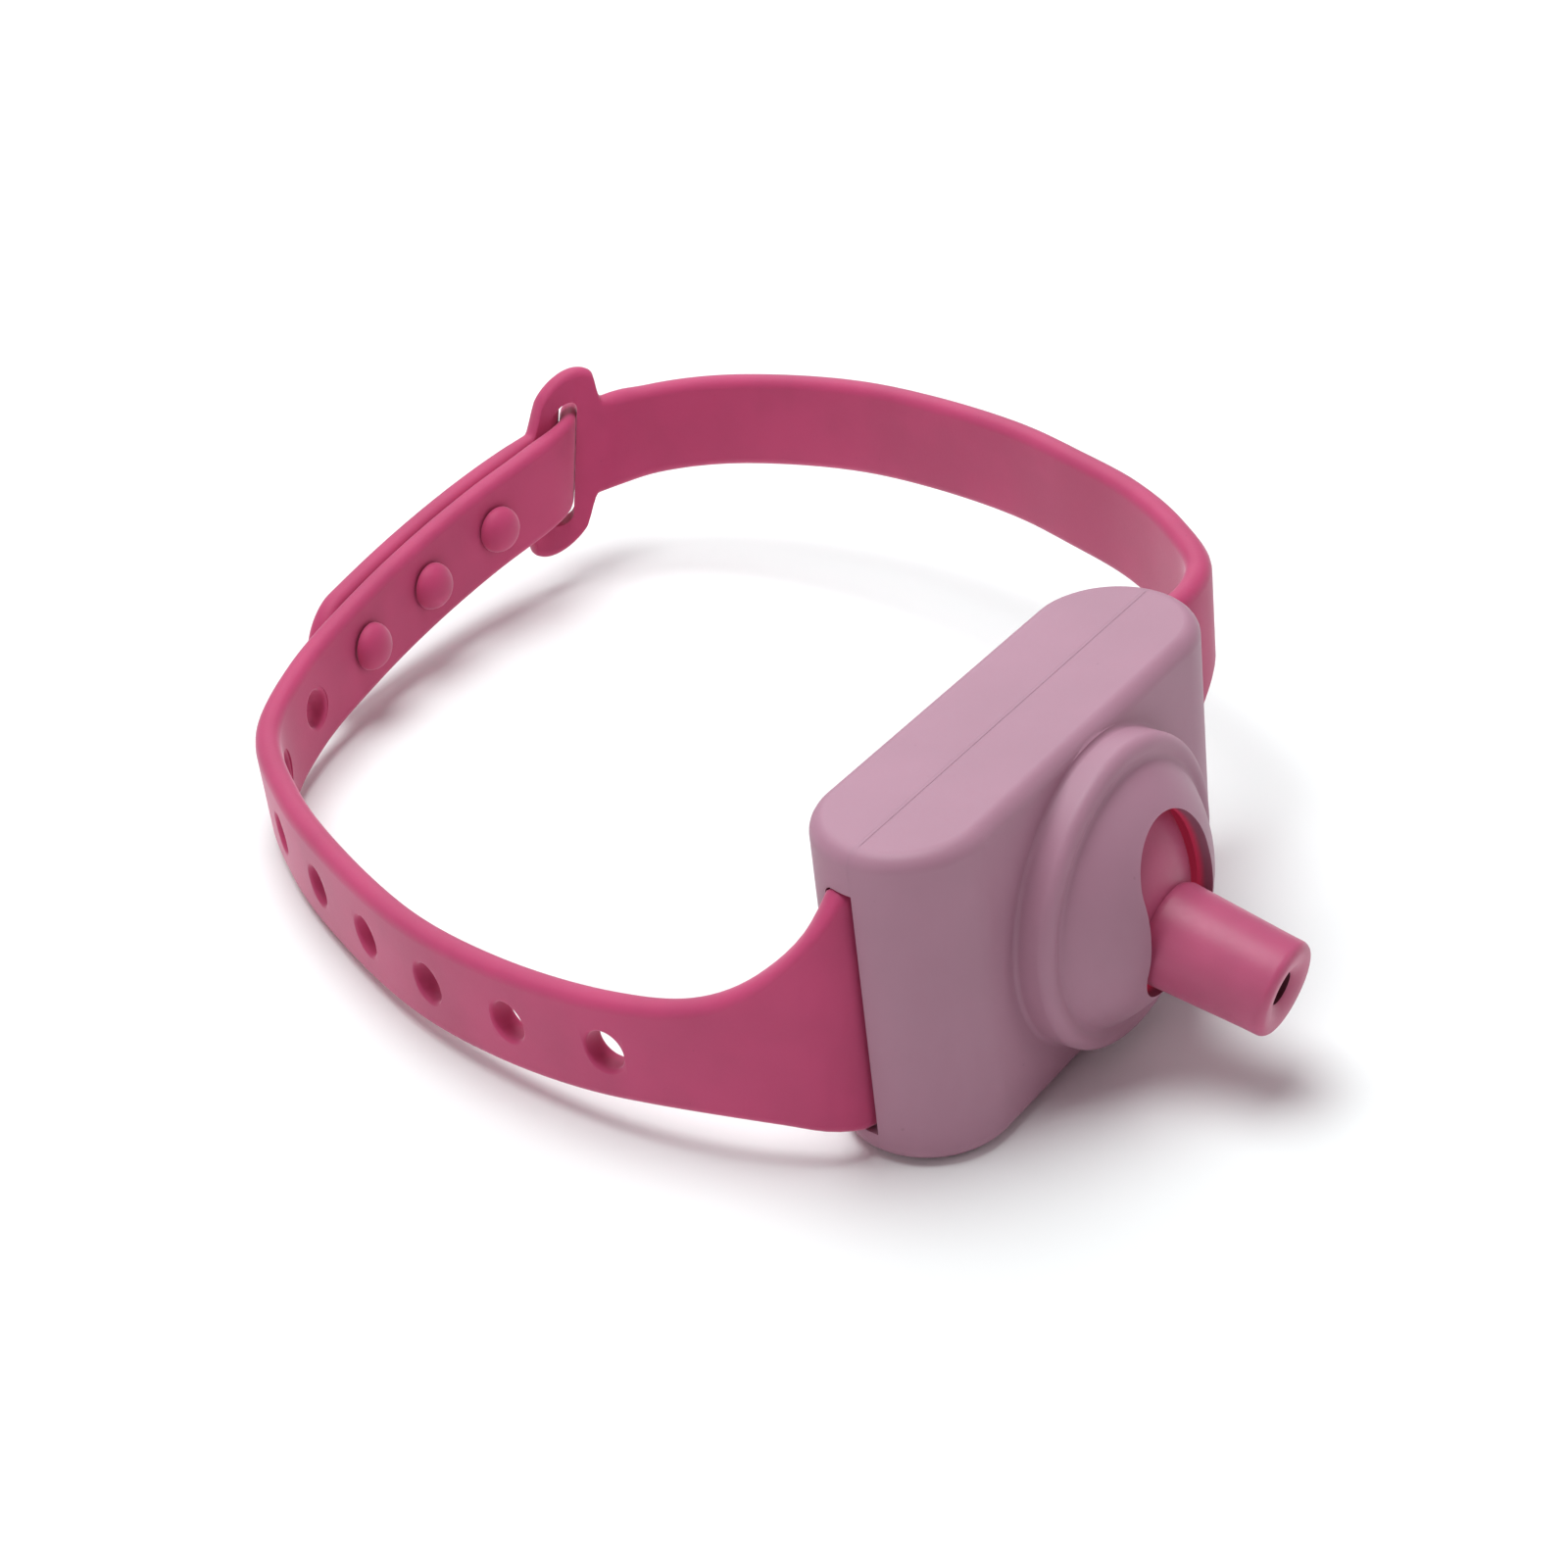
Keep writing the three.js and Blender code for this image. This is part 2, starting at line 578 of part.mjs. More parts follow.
// A ribbon along a line. For a distance along it, edges gives the bottom and top heights, thick the
// thickness, and lean how far the section's top stands along X per millimetre of height.
function ribbon(line, distances, edges, thick, lean = () => 0, chamfer = 0.55) {
  const rings = distances.map((d) => {
    const { at, out } = frameAt(line, d);
    const [low, high] = edges(d, at.z);
    const t = thick(d) / 2;
    const c = Math.min(chamfer, t * 0.6);
    const section = [
      [t, high - c],
      [t - c, high],
      [c - t, high],
      [-t, high - c],
      [-t, low + c],
      [c - t, low],
      [t - c, low],
      [t, low + c],
    ];
    return section.map(([outward, z]) => {
      const shift = lean(d) * (z - at.z);
      return new THREE.Vector3(at.x + outward * out.x + shift, at.y + outward * out.y, z);
    });
  });
  const sides = rings[0].length;
  const position = rings.flat().flatMap((p) => p.toArray());
  const index = [];
  for (let i = 0; i + 1 < rings.length; i++) {
    for (let j = 0; j < sides; j++) {
      const [a, b] = [i * sides + j, i * sides + ((j + 1) % sides)];
      index.push(a, b, a + sides, b, b + sides, a + sides);
    }
  }
  const last = (rings.length - 1) * sides;
  for (let j = 1; j + 1 < sides; j++) {
    index.push(0, j + 1, j, last, last + j, last + j + 1);
  }
  const g = new THREE.BufferGeometry();
  g.setAttribute("position", new THREE.Float32BufferAttribute(position, 3));
  return solid(g.setIndex(index));
}

function spaced(from, to, step) {
  const count = Math.ceil((to - from) / step);
  return Array.from({ length: count + 1 }, (_, i) => from + ((to - from) * i) / count);
}

// Turned piece set on a line: its axis runs outwards through the strap.
function onLine(line, distance, geometry) {
  const { at, across, out } = frameAt(line, distance);
  const ahead = new THREE.Vector3().crossVectors(out, across);
  const place = new THREE.Matrix4().makeBasis(ahead, out, across.clone().negate()).setPosition(at);
  return solid(geometry.applyMatrix4(place));
}

// One edge of the strap: it runs from its height at the case to the plain band's.
function edge(band, root, fromCase, power) {
  const t = Math.min(1, Math.max(0, fromCase / FLARE_LENGTH));
  return band + (root - band) * (1 - t) ** power;
}

// Half-round tip: the share of the full width at a distance from the strap's end.
const tipRound = (from) => {
  const t = Math.min(1, (from + 0.3) / (BAND_WIDTH / 2));
  return Math.sqrt(1 - (1 - t) ** 2);
};

const holeAt = (i) => FIRST_HOLE + i * HOLE_PITCH;

const TAB_LENGTH = 4.4; // strap held inside the case
const CURVED = 3; // how sharply each flared edge runs in: one is curved and one nearly straight
const STRAIGHT = 1.5;
const holeEnd = holeLine.getLength();
const tailThick = (d) => BAND_THICK - 0.6 * smooth((d - (holeEnd - 12)) / 4);
const tailLean = (d) => EAR_LEAN * smooth((d - (holeEnd - 14)) / 7);

function holeStrap() {
  const edges = (d, middle) => {
    const half = (BAND_WIDTH / 2) * tipRound(holeEnd - d);
    return [
      edge(middle - half, FLARE_BOTTOM, d - TAB_LENGTH, STRAIGHT),
      edge(middle + half, FLARE_TOP, d - TAB_LENGTH, CURVED),
    ];
  };
  const tip = spaced(holeEnd - 5, holeEnd, 0.9);
  const distances = [...spaced(0, 28, 1.6), ...spaced(31, holeEnd - 7, 3.6), ...tip];
  const body = ribbon(holeLine, distances, edges, tailThick, tailLean);
  const holes = Array.from({ length: HOLE_COUNT }, (_, i) =>
    onLine(holeLine, holeAt(i), new THREE.CylinderGeometry(HOLE_RADIUS, HOLE_RADIUS, 6, 16)),
  );
  const tabHoles = anchorPins.filter(([x]) => x < 0).map(([x, z]) => rodY(1.3, -2, 5, x, z, 12));
  return cut(body, ...holes, ...tabHoles);
}

// A stud on the tongue: root, neck through the hole and a domed head on the neck side.
function stud(distance) {
  const face = BAND_THICK / 2;
  const profile = [
    [0, face + GAP + 1],
    [STUD_NECK_RADIUS, face + GAP + 1],
    [STUD_NECK_RADIUS, -face - GAP],
    [STUD_HEAD_RADIUS - 0.2, -face - GAP],
    [STUD_HEAD_RADIUS, -face - GAP - 0.4],
    [STUD_HEAD_RADIUS - 0.7, -face - GAP - 1.1],
    [0, -face - GAP - 1.5],
  ];
  const points = profile.map(([radius, y]) => new THREE.Vector2(radius, y));
  return onLine(holeLine, distance, new THREE.LatheGeometry(points, 16));
}

// How much of an ear there is at a distance from the ears' middle: a half round with soft feet.
const earShare = (away) => {
  const t = Math.min(1, Math.abs(away) / (EAR_LENGTH / 2));
  return Math.sqrt(1 - t ** 2) * smooth(3.2 * (1 - t));
};

function studStrap() {
  const length = studLine.getLength();
  const edges = (d, middle) => {
    const ear = (EAR_HALF_HEIGHT - BAND_WIDTH / 2) * earShare(d - EAR_MIDDLE);
    const half = (BAND_WIDTH / 2) * tipRound(d) + ear;
    const fromCase = length - d - TAB_LENGTH;
    return [
      edge(middle - half, FLARE_BOTTOM, fromCase, CURVED),
      edge(middle + half, FLARE_TOP, fromCase, STRAIGHT),
    ];
  };
  const thick = (d) => BAND_THICK - 0.6 * smooth((7.5 - Math.abs(d - EAR_MIDDLE)) / 2.5);
  const lean = (d) => EAR_LEAN * smooth((11 - Math.abs(d - EAR_MIDDLE)) / 6);
  const distances = [
    ...spaced(0, 5, 0.9),
    ...spaced(8, 30, 3.6),
    ...spaced(EAR_MIDDLE - 6.4, EAR_MIDDLE + 6.4, 0.8),
    ...spaced(50, length - 29, 3.6),
    ...spaced(length - 26, length, 1.6),
  ];
  const slot = ribbon(
    holeLine,
    spaced(holeEnd - 11, holeEnd - 1, 0.8),
    (d, middle) => [middle - EAR_SLOT_HALF_HEIGHT, middle + EAR_SLOT_HALF_HEIGHT],
    (d) => tailThick(d) + 2 * (GAP + 0.1),
    tailLean,
    0.3,
  );
  const studs = Array.from({ length: STUD_COUNT }, (_, i) => stud(holeAt(HOLE_COUNT - 1 - i)));
  const tabHoles = anchorPins.filter(([x]) => x > 0).map(([x, z]) => rodY(1.3, -2, 5, x, z, 12));
  return cut(join(cut(ribbon(studLine, distances, edges, thick, lean), slot), ...studs), ...tabHoles);
}

// ---------------------------------------------------------------- assembly
const collar = new THREE.Group();
collar.name = "laser_collar";
collar.position.y = -REAR_DEPTH;
collar.add(
  mesh("front_shell", frontShell(), paint.shell),
  mesh("rear_shell", rearShell(), paint.shell),
  ...corners.map(([x, z], i) =>
    mesh(`case_screw_${i + 1}`, screw(1.6, 6.95, 1.4, 0.85, -4.6, x, z), paint.steel),
  ),
  mesh("strap_with_holes", holeStrap(), paint.silicone),
  mesh("strap_with_studs", studStrap(), paint.silicone),
  swivelHead(),
  ...motorPieces(),
  ...boardPieces(),
  mesh("light_pipe", lightPipe(), paint.light),
  ...buttonPieces(),
  mesh("port_cover", portCover(), paint.silicone),
);

export default collar;
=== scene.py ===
"""A pink pet collar with a swivelling laser nozzle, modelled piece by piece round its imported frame."""

import json
import math

import bpy
from mathutils import Matrix, Vector


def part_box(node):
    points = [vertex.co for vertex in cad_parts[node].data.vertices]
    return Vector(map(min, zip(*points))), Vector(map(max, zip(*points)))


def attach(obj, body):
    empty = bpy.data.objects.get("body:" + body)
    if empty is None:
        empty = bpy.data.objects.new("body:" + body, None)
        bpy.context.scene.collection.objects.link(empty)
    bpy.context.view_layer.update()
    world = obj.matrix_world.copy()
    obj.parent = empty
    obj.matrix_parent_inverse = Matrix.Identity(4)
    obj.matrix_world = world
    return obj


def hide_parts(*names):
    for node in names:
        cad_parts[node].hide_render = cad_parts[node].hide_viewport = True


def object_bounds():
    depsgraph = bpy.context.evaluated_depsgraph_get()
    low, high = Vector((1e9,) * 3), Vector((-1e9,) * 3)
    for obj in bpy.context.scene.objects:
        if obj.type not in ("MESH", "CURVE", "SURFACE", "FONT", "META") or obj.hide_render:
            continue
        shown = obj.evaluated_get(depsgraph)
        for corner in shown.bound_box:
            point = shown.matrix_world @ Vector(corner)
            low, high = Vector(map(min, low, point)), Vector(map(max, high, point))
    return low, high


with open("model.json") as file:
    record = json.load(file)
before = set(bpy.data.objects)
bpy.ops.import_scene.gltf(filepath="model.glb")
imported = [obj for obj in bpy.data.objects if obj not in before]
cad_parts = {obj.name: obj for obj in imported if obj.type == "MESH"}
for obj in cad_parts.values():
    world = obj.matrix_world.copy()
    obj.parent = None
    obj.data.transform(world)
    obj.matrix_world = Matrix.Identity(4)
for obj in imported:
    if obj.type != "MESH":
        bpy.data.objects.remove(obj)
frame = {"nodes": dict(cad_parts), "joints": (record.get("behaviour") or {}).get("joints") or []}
cad_low, cad_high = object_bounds()

bl_info = {
    "name": "Pet Laser Collar",
    "version": (1, 0, 0),
    "blender": (4, 5, 0),
    "location": "3D View > Sidebar > Collar",
    "description": "Models a silicone pet collar with a plastic case and a swivelling laser nozzle",
    "category": "Add Mesh",
}

# Pieces are shaped in millimetres about the case's parting plane, and settle() then brings them
# to metres in the frame, whose origin is the middle of the face that rests on the neck.
MM = 0.001
FULL_TURN = 2 * math.pi
FRONT_LOW, FRONT_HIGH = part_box("front_shell")
REAR_LOW, REAR_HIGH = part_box("rear_shell")
PARTING_Y = REAR_LOW.y
SEAM = 0.002  # half the hairline gap between the two shells
SLOT_AIR = 0.08  # above and below each strap in its slot
DOME_WALL = 1.4
# Painted glow: between these depths below the dome's surface the slot's wall turns from shell pink to a
# painted red glow.
PAINTED_GLOW_DEPTH, SKIN_DEPTH = 1.35, 0.55  # below the dome's surface, where the slot's wall changes colour
SHIELD_WALL = 1.6
SHIELD_HALF_WIDTH = 4.3
SHIELD_SPREAD = math.radians(50)  # either side of the nozzle
APERTURE = 1.4  # radius of the nozzle's mouth
BORE = 3.3  # radius of the laser's seat
PORT_AIR = 0.35  # round the charging cover


# ---------------------------------------------------------------- settings
def length(name, description, millimetres):
    return bpy.props.FloatProperty(
        name=name, description=description, default=millimetres * MM, min=0.0, unit="LENGTH", precision=5
    )


def colour(name, description, rgb):
    return bpy.props.FloatVectorProperty(
        name=name, description=description, default=rgb, size=3, min=0.0, max=1.0, subtype="COLOR"
    )


class CollarCase(bpy.types.PropertyGroup):
    length: length("Length", "Case from end to end", (FRONT_HIGH.x - FRONT_LOW.x) / MM)
    height: length("Height", "Case across the strap's width", (FRONT_HIGH.z - FRONT_LOW.z) / MM)
    front: length("Front depth", "Parting plane to the front face", 7.95)
    rear: length("Rear depth", "Parting plane to the neck face", (REAR_HIGH.y - REAR_LOW.y) / MM)
    wall: length("Wall", "Thickness of the shells", 1.5)
    rim: length("Rim round", "Radius of the long edges", 1.5)


class CollarDome(bpy.types.PropertyGroup):
    radius: length("Dome radius", "Radius of the ball that the dome is a part of", 14.8)
    ring: length("Ring radius", "Outer radius of the raised ring", 13.7)
    groove: length("Groove radius", "Radius of the groove inside the ring", 11.75)
    slot_width: length("Slot width", "Width of the nozzle's slot", 10.34)
    slot_height: length("Slot height", "Height of the nozzle's slot", 17.1)


class CollarNozzle(bpy.types.PropertyGroup):
    rest: bpy.props.FloatProperty(
        name="Rest angle", description="Tilt below level", default=math.radians(13), subtype="ANGLE"
    )
    reach: length("Reach", "Swivel axis to the nozzle's tip", 24.0)
    root: length("Root radius", "Nozzle radius at the shield", 4.65)
    tip: length("Tip radius", "Nozzle radius at its end", 4.3)
    shield: length("Shield radius", "Radius of the curved shield", 13.0)


class CollarStrap(bpy.types.PropertyGroup):
    width: length("Width", "Width of the plain strap", 10.4)
    thick: length("Thickness", "Thickness of the plain strap", 2.5)
    hole: length("Hole radius", "Radius of the sizing holes", 1.95)
    pitch: length("Hole pitch", "Distance between the sizing holes", 11.05)
    ear: length("Ear height", "Half height of the ears round the slot", 9.8)


class CollarColours(bpy.types.PropertyGroup):
    shell: colour("Shell", "Pale moulded plastic", (0.42, 0.207, 0.288))
    silicone: colour("Silicone", "Soft strap", (0.50, 0.048, 0.150))
    nozzle: colour("Nozzle", "Moulded plastic of the nozzle", (0.49, 0.082, 0.182))
    # Painted glow: the slot colour is a red that stands in for light shining through the dome's thin
    # plastic.
    slot: colour("Slot", "Cut wall of the slot, where the plastic glows", (0.60, 0.07, 0.15))
    floor: colour("Floor", "Studio floor", (0.93, 0.93, 0.93))


# ---------------------------------------------------------------- shader expressions
class Value:
    """A socket or a number in a material, with operators that add Math nodes."""

    def __init__(self, recipe, socket):
        self.recipe, self.socket = recipe, socket

    def _math(self, operation, *others):
        return self.recipe.node("ShaderNodeMath", {"operation": operation}, *others)

    def __add__(self, other):
        return self._math("ADD", self, other)

    def __radd__(self, other):
        return self._math("ADD", other, self)

    def __rsub__(self, other):
        return self._math("SUBTRACT", other, self)

    def __mul__(self, other):
        return self._math("MULTIPLY", self, other)

    def __rmul__(self, other):
        return self._math("MULTIPLY", other, self)

    def clamp(self, low, high):
        """0 at low and below, 1 at high and above, smooth between."""
        ease = {"data_type": "FLOAT", "interpolation_type": "SMOOTHSTEP"}
        return self.recipe.node("ShaderNodeMapRange", ease, self, low, high, 0.0, 1.0)


class Recipe:
    def __init__(self, name):
        self.material = bpy.data.materials.new(name)
        self.material.use_nodes = True
        self.tree = self.material.node_tree
        self.shader = self.tree.nodes["Principled BSDF"]

    def feed(self, socket, value):
        if isinstance(value, Value):
            self.tree.links.new(value.socket, socket)
        else:
            socket.default_value = value

    def node(self, kind, settings=None, *inputs, output=0, **named):
        made = self.tree.nodes.new(kind)
        for key, setting in (settings or {}).items():
            setattr(made, key, setting)
        for socket, value in zip([s for s in made.inputs if s.enabled], inputs):
            self.feed(socket, value)
        for key, value in named.items():
            self.feed(made.inputs[key], value)
        return Value(self, [s for s in made.outputs if s.enabled][output])

    def place(self):
        return self.node("ShaderNodeTexCoord", output=3)

    def noise(self, scale, detail=2.0, roughness=0.5):
        return self.node("ShaderNodeTexNoise", None, Vector=self.place(), Scale=scale, Detail=detail,
                         Roughness=roughness)

    def mix(self, factor, first, second):
        made = self.node("ShaderNodeMix", {"data_type": "RGBA"}, factor).socket.node
        self.feed(made.inputs[6], first)
        self.feed(made.inputs[7], second)
        return Value(self, made.outputs[2])

    def bump(self, height, strength, distance):
        return self.node("ShaderNodeBump", None, Strength=strength, Distance=distance, Height=height)

    def finish(self, **sockets):
        for key, value in sockets.items():
            self.feed(self.shader.inputs[key.replace("_", " ")], value)
        return self.material


def shade(rgb, factor):
    return (*[min(1.0, c * factor) for c in rgb], 1.0)


def shell_plastic(name, rgb):
    """Pale satin plastic: fine mould grain, faint flow clouds and a few darker specks."""
    r = Recipe(name)
    clouds = r.noise(70.0, 3.0)
    grain = r.noise(2600.0, 4.0, 0.7)
    specks = r.noise(1300.0, 1.0).clamp(0.80, 0.83)
    base = r.mix(clouds.clamp(0.3, 0.7), shade(rgb, 0.955), shade(rgb, 1.03))
    base = r.mix(specks * 0.3, base, shade(rgb, 0.6))
    return r.finish(
        Base_Color=base,
        Roughness=0.43 + 0.12 * grain + 0.05 * clouds,
        Normal=r.bump(grain + 0.4 * clouds, 0.22, 0.00004),
        Subsurface_Weight=0.12,
        Subsurface_Radius=(0.9, 0.45, 0.5),
        Subsurface_Scale=0.0012,
        Specular_IOR_Level=0.42,
        Sheen_Weight=0.05,
    )


def silicone(name, rgb):
    """Soft matt silicone with a velvety bloom, dust lint and slight clouding."""
    r = Recipe(name)
    clouds = r.noise(95.0, 3.0)
    grain = r.noise(3400.0, 3.0, 0.65)
    lint = r.noise(1500.0, 1.0).clamp(0.80, 0.83)
    base = r.mix(clouds.clamp(0.3, 0.7), shade(rgb, 0.93), shade(rgb, 1.07))
    base = r.mix(lint * 0.3, base, shade(rgb, 0.55))
    return r.finish(
        Base_Color=base,
        Roughness=0.56 + 0.14 * grain,
        Normal=r.bump(grain + 0.5 * clouds, 0.18, 0.00005),
        Subsurface_Weight=0.16,
        Subsurface_Radius=(1.0, 0.3, 0.42),
        Subsurface_Scale=0.0014,
        Specular_IOR_Level=0.36,
        Sheen_Weight=0.42,
        Sheen_Roughness=0.42,
        Sheen_Tint=(1.0, 0.78, 0.86, 1.0),
    )


def nozzle_plastic(name, rgb):
    """Dark pink satin plastic with fine mould texture."""
    r = Recipe(name)
    grain = r.noise(2300.0, 4.0, 0.7)
    clouds = r.noise(160.0, 2.0)
    return r.finish(
        Base_Color=r.mix(clouds.clamp(0.3, 0.7), shade(rgb, 0.94), shade(rgb, 1.05)),
        Roughness=0.36 + 0.16 * grain,
        Normal=r.bump(grain, 0.28, 0.00005),
        Subsurface_Weight=0.18,
        Subsurface_Radius=(1.0, 0.32, 0.45),
        Subsurface_Scale=0.0014,
        Specular_IOR_Level=0.45,
        Sheen_Weight=0.08,
    )


def painted_shade_mouth(name):
    """Painted shade: a deep red-black wall in the nozzle's mouth, standing in for the shade inside the
    hole.
    """
    r = Recipe(name)
    painted_shade_mottle = r.noise(1800.0, 3.0)
    return r.finish(
        Base_Color=r.mix(painted_shade_mottle, (0.055, 0.005, 0.012, 1.0), (0.13, 0.012, 0.032, 1.0)),
        Roughness=0.5 + 0.2 * painted_shade_mottle,
    )


def slot_wall_painted_glow(name, rgb, shell):
    """The cut edge of the dome: shell pink at its outside; deeper in, painted glow, a red colour and red
    emission standing in for light shining through the thin plastic.
    """
    dome = bpy.context.scene.collar_dome
    r = Recipe(name)
    axis = (0, -(swivel_y() * MM + PARTING_Y), 0)
    local = r.node("ShaderNodeVectorMath", {"operation": "ADD"}, r.place(), axis)
    ball = r.node("ShaderNodeVectorMath", {"operation": "LENGTH"}, local)
    outer = ball.clamp(dome.radius - PAINTED_GLOW_DEPTH * MM, dome.radius - SKIN_DEPTH * MM)
    return r.finish(
        Base_Color=r.mix(outer, shade(rgb, 1.0), shade(shell, 0.95)),
        Roughness=0.42 + 0.08 * r.noise(1800.0, 3.0),
        # Painted glow: red emission deep in the slot's wall, which is no lamp.
        Emission_Color=r.mix(outer, (0.50, 0.03, 0.08, 1.0), (0.0, 0.0, 0.0, 1.0)),
        Emission_Strength=0.30,
    )


def metal(name, rgb, rough, brushed=0.0):
    """Machined or stamped metal with fine scratches and uneven polish."""
    r = Recipe(name)
    fine = r.noise(1500.0, 4.0, 0.7)
    stretched = r.node("ShaderNodeMapping", None, Vector=r.place(), Scale=(400.0, 5200.0, 5200.0))
    scratch = r.node("ShaderNodeTexNoise", None, Vector=stretched, Scale=1.0, Detail=3.0)
    smudge = r.noise(220.0, 2.0).clamp(0.35, 0.7)
    return r.finish(
        Base_Color=r.mix(smudge, shade(rgb, 1.04), shade(rgb, 0.86)),
        Metallic=1.0,
        Roughness=rough + 0.10 * fine + 0.08 * smudge,
        Normal=r.bump(fine + brushed * scratch, 0.15, 0.00002),
    )


def moulded(name, rgb, rough=0.5, grain_scale=2000.0):
    """Plain moulded plastic with a fine grain."""
    r = Recipe(name)
    grain = r.noise(grain_scale, 3.0, 0.65)
    clouds = r.noise(180.0, 2.0)
    return r.finish(
        Base_Color=r.mix(clouds.clamp(0.3, 0.7), shade(rgb, 0.9), shade(rgb, 1.06)),
        Roughness=rough + 0.12 * grain,
        Normal=r.bump(grain, 0.2, 0.00003),
    )


def circuit_board(name, rgb):
    """Green solder mask over copper tracks."""
    r = Recipe(name)
    settings = {"feature": "DISTANCE_TO_EDGE"}
    cells = r.node("ShaderNodeTexVoronoi", settings, Vector=r.place(), Scale=620.0)
    tracks = 1 - cells.clamp(0.03, 0.06)
    return r.finish(
        Base_Color=r.mix(tracks, shade(rgb, 1.0), shade(rgb, 2.1)),
        Roughness=0.28 + 0.1 * r.noise(900.0),
        Normal=r.bump(tracks, 0.3, 0.00003),
        Coat_Weight=0.3,
    )


def foil_cell(name, rgb):
    """Crinkled foil pouch of the battery."""
    r = Recipe(name)
    crinkle = r.noise(520.0, 5.0, 0.6)
    return r.finish(
        Base_Color=r.mix(crinkle.clamp(0.35, 0.65), shade(rgb, 0.85), shade(rgb, 1.05)),
        Metallic=0.8,
        Roughness=0.3 + 0.2 * crinkle,
        Normal=r.bump(crinkle, 0.5, 0.0001),
    )


def foam(name, rgb):
    """Open foam pad."""
    r = Recipe(name)
    pores = r.node("ShaderNodeTexVoronoi", None, Vector=r.place(), Scale=2600.0)
    return r.finish(
        Base_Color=r.mix(pores.clamp(0.1, 0.6), shade(rgb, 0.4), shade(rgb, 1.5)),
        Roughness=0.95,
        Normal=r.bump(pores, 0.8, 0.0001),
    )


def lens_glass(name):
    r = Recipe(name)
    haze = r.noise(800.0)
    return r.finish(
        Base_Color=(0.92, 0.95, 1.0, 1.0),
        Roughness=0.03 + 0.03 * haze,
        IOR=1.5,
        Transmission_Weight=0.9,
        Coat_Weight=0.5,
    )


def frosted(name):
    """Milky light guide."""
    r = Recipe(name)
    milk = r.noise(900.0, 3.0)
    return r.finish(
        Base_Color=r.mix(milk, (0.80, 0.84, 0.82, 1.0), (0.93, 0.95, 0.94, 1.0)),
        Roughness=0.3 + 0.15 * milk,
        Subsurface_Weight=0.4,
        Subsurface_Scale=0.001,
    )


# ---------------------------------------------------------------- modelling helpers
def only(piece):
    """Makes one object the only selected and active one, in object mode."""
    if bpy.context.object and bpy.context.object.mode != "OBJECT":
        bpy.ops.object.mode_set(mode="OBJECT")
    bpy.ops.object.select_all(action="DESELECT")
    piece.select_set(True)
    bpy.context.view_layer.objects.active = piece
    return piece


def apply_place(piece):
    only(piece)
    bpy.ops.object.transform_apply(location=True, rotation=True, scale=True)
    return piece


def edit(piece, mode="VERT"):
    """Enters edit mode with nothing selected."""
    only(piece)
    bpy.ops.object.mode_set(mode="EDIT")
    bpy.ops.mesh.select_mode(type=mode)
    bpy.ops.mesh.select_all(action="DESELECT")


def select_edges(piece, test):
    """Enters edit mode with the edges whose two ends pass the test."""
    edit(piece, "EDGE")
    bpy.ops.object.mode_set(mode="OBJECT")
    at = [v.co for v in piece.data.vertices]
    for edge in piece.data.edges:
        edge.select = test(at[edge.vertices[0]], at[edge.vertices[1]])
    bpy.ops.object.mode_set(mode="EDIT")


def box(size, centre):
    bpy.ops.mesh.primitive_cube_add(size=1, location=centre, scale=size)
    return apply_place(bpy.context.object)


def rod(radius, start, end, sides=48):
    """A round bar between two points."""
    start, end = Vector(start), Vector(end)
    turn = (end - start).to_track_quat("Z", "Y").to_euler()
    bpy.ops.mesh.primitive_cylinder_add(
        vertices=sides, radius=radius, depth=(end - start).length, location=(start + end) / 2, rotation=turn
    )
    return apply_place(bpy.context.object)


def carve(piece, tool, operation="DIFFERENCE"):
    """Joins or cuts with another solid, which is used up. Cut faces keep the tool's material."""
    only(piece)
    bpy.ops.object.modifier_add(type="BOOLEAN")
    cutter = piece.modifiers[-1]
    cutter.operation = operation
    cutter.solver = "EXACT"
    cutter.material_mode = "TRANSFER"
    cutter.object = tool
    bpy.ops.object.modifier_apply(modifier=cutter.name)
    bpy.data.objects.remove(tool)
    return piece


def unite(piece, *others):
    for other in others:
        carve(piece, other, "UNION")
    return piece


def spun(profile, steps=96):
    """A solid turned about the Y axis: a vertex is extruded along the profile and spun round.
    Profile points are (radius, y), from one end of the axis to the other."""
    first = Vector((profile[0][0], profile[0][1], 0))
    bpy.ops.mesh.primitive_plane_add(size=0.01, location=first)
    piece = apply_place(bpy.context.object)
    edit(piece)
    bpy.ops.mesh.select_all(action="SELECT")
    bpy.ops.mesh.merge(type="CENTER")
    for (r0, y0), (r1, y1) in zip(profile, profile[1:]):
        bpy.ops.mesh.extrude_vertices_move(TRANSFORM_OT_translate={"value": (r1 - r0, y1 - y0, 0)})
    bpy.ops.mesh.select_all(action="SELECT")
    bpy.ops.mesh.spin(steps=steps, angle=FULL_TURN, center=(0, 0, 0), axis=(0, 1, 0))
    bpy.ops.mesh.select_all(action="SELECT")
    bpy.ops.mesh.remove_doubles(threshold=0.002)
    bpy.ops.mesh.normals_make_consistent(inside=False)
    bpy.ops.object.mode_set(mode="OBJECT")
    return piece


def arc(centre, radius, start, end, steps=6):
    """Points of an arc in the profile plane, angles in degrees from +radius towards +y."""
    angles = [math.radians(start + (end - start) * i / steps) for i in range(steps + 1)]
    return [(centre[0] + radius * math.cos(a), centre[1] + radius * math.sin(a)) for a in angles]


def soften(piece, width, angle=35.0, segments=2):
    """Rounds the sharp edges that are left."""
    only(piece)
    bpy.ops.object.modifier_add(type="BEVEL")
    bevel = piece.modifiers[-1]
    bevel.width = width
    bevel.segments = segments
    bevel.limit_method = "ANGLE"
    bevel.angle_limit = math.radians(angle)
    bpy.ops.object.modifier_apply(modifier=bevel.name)
    return piece


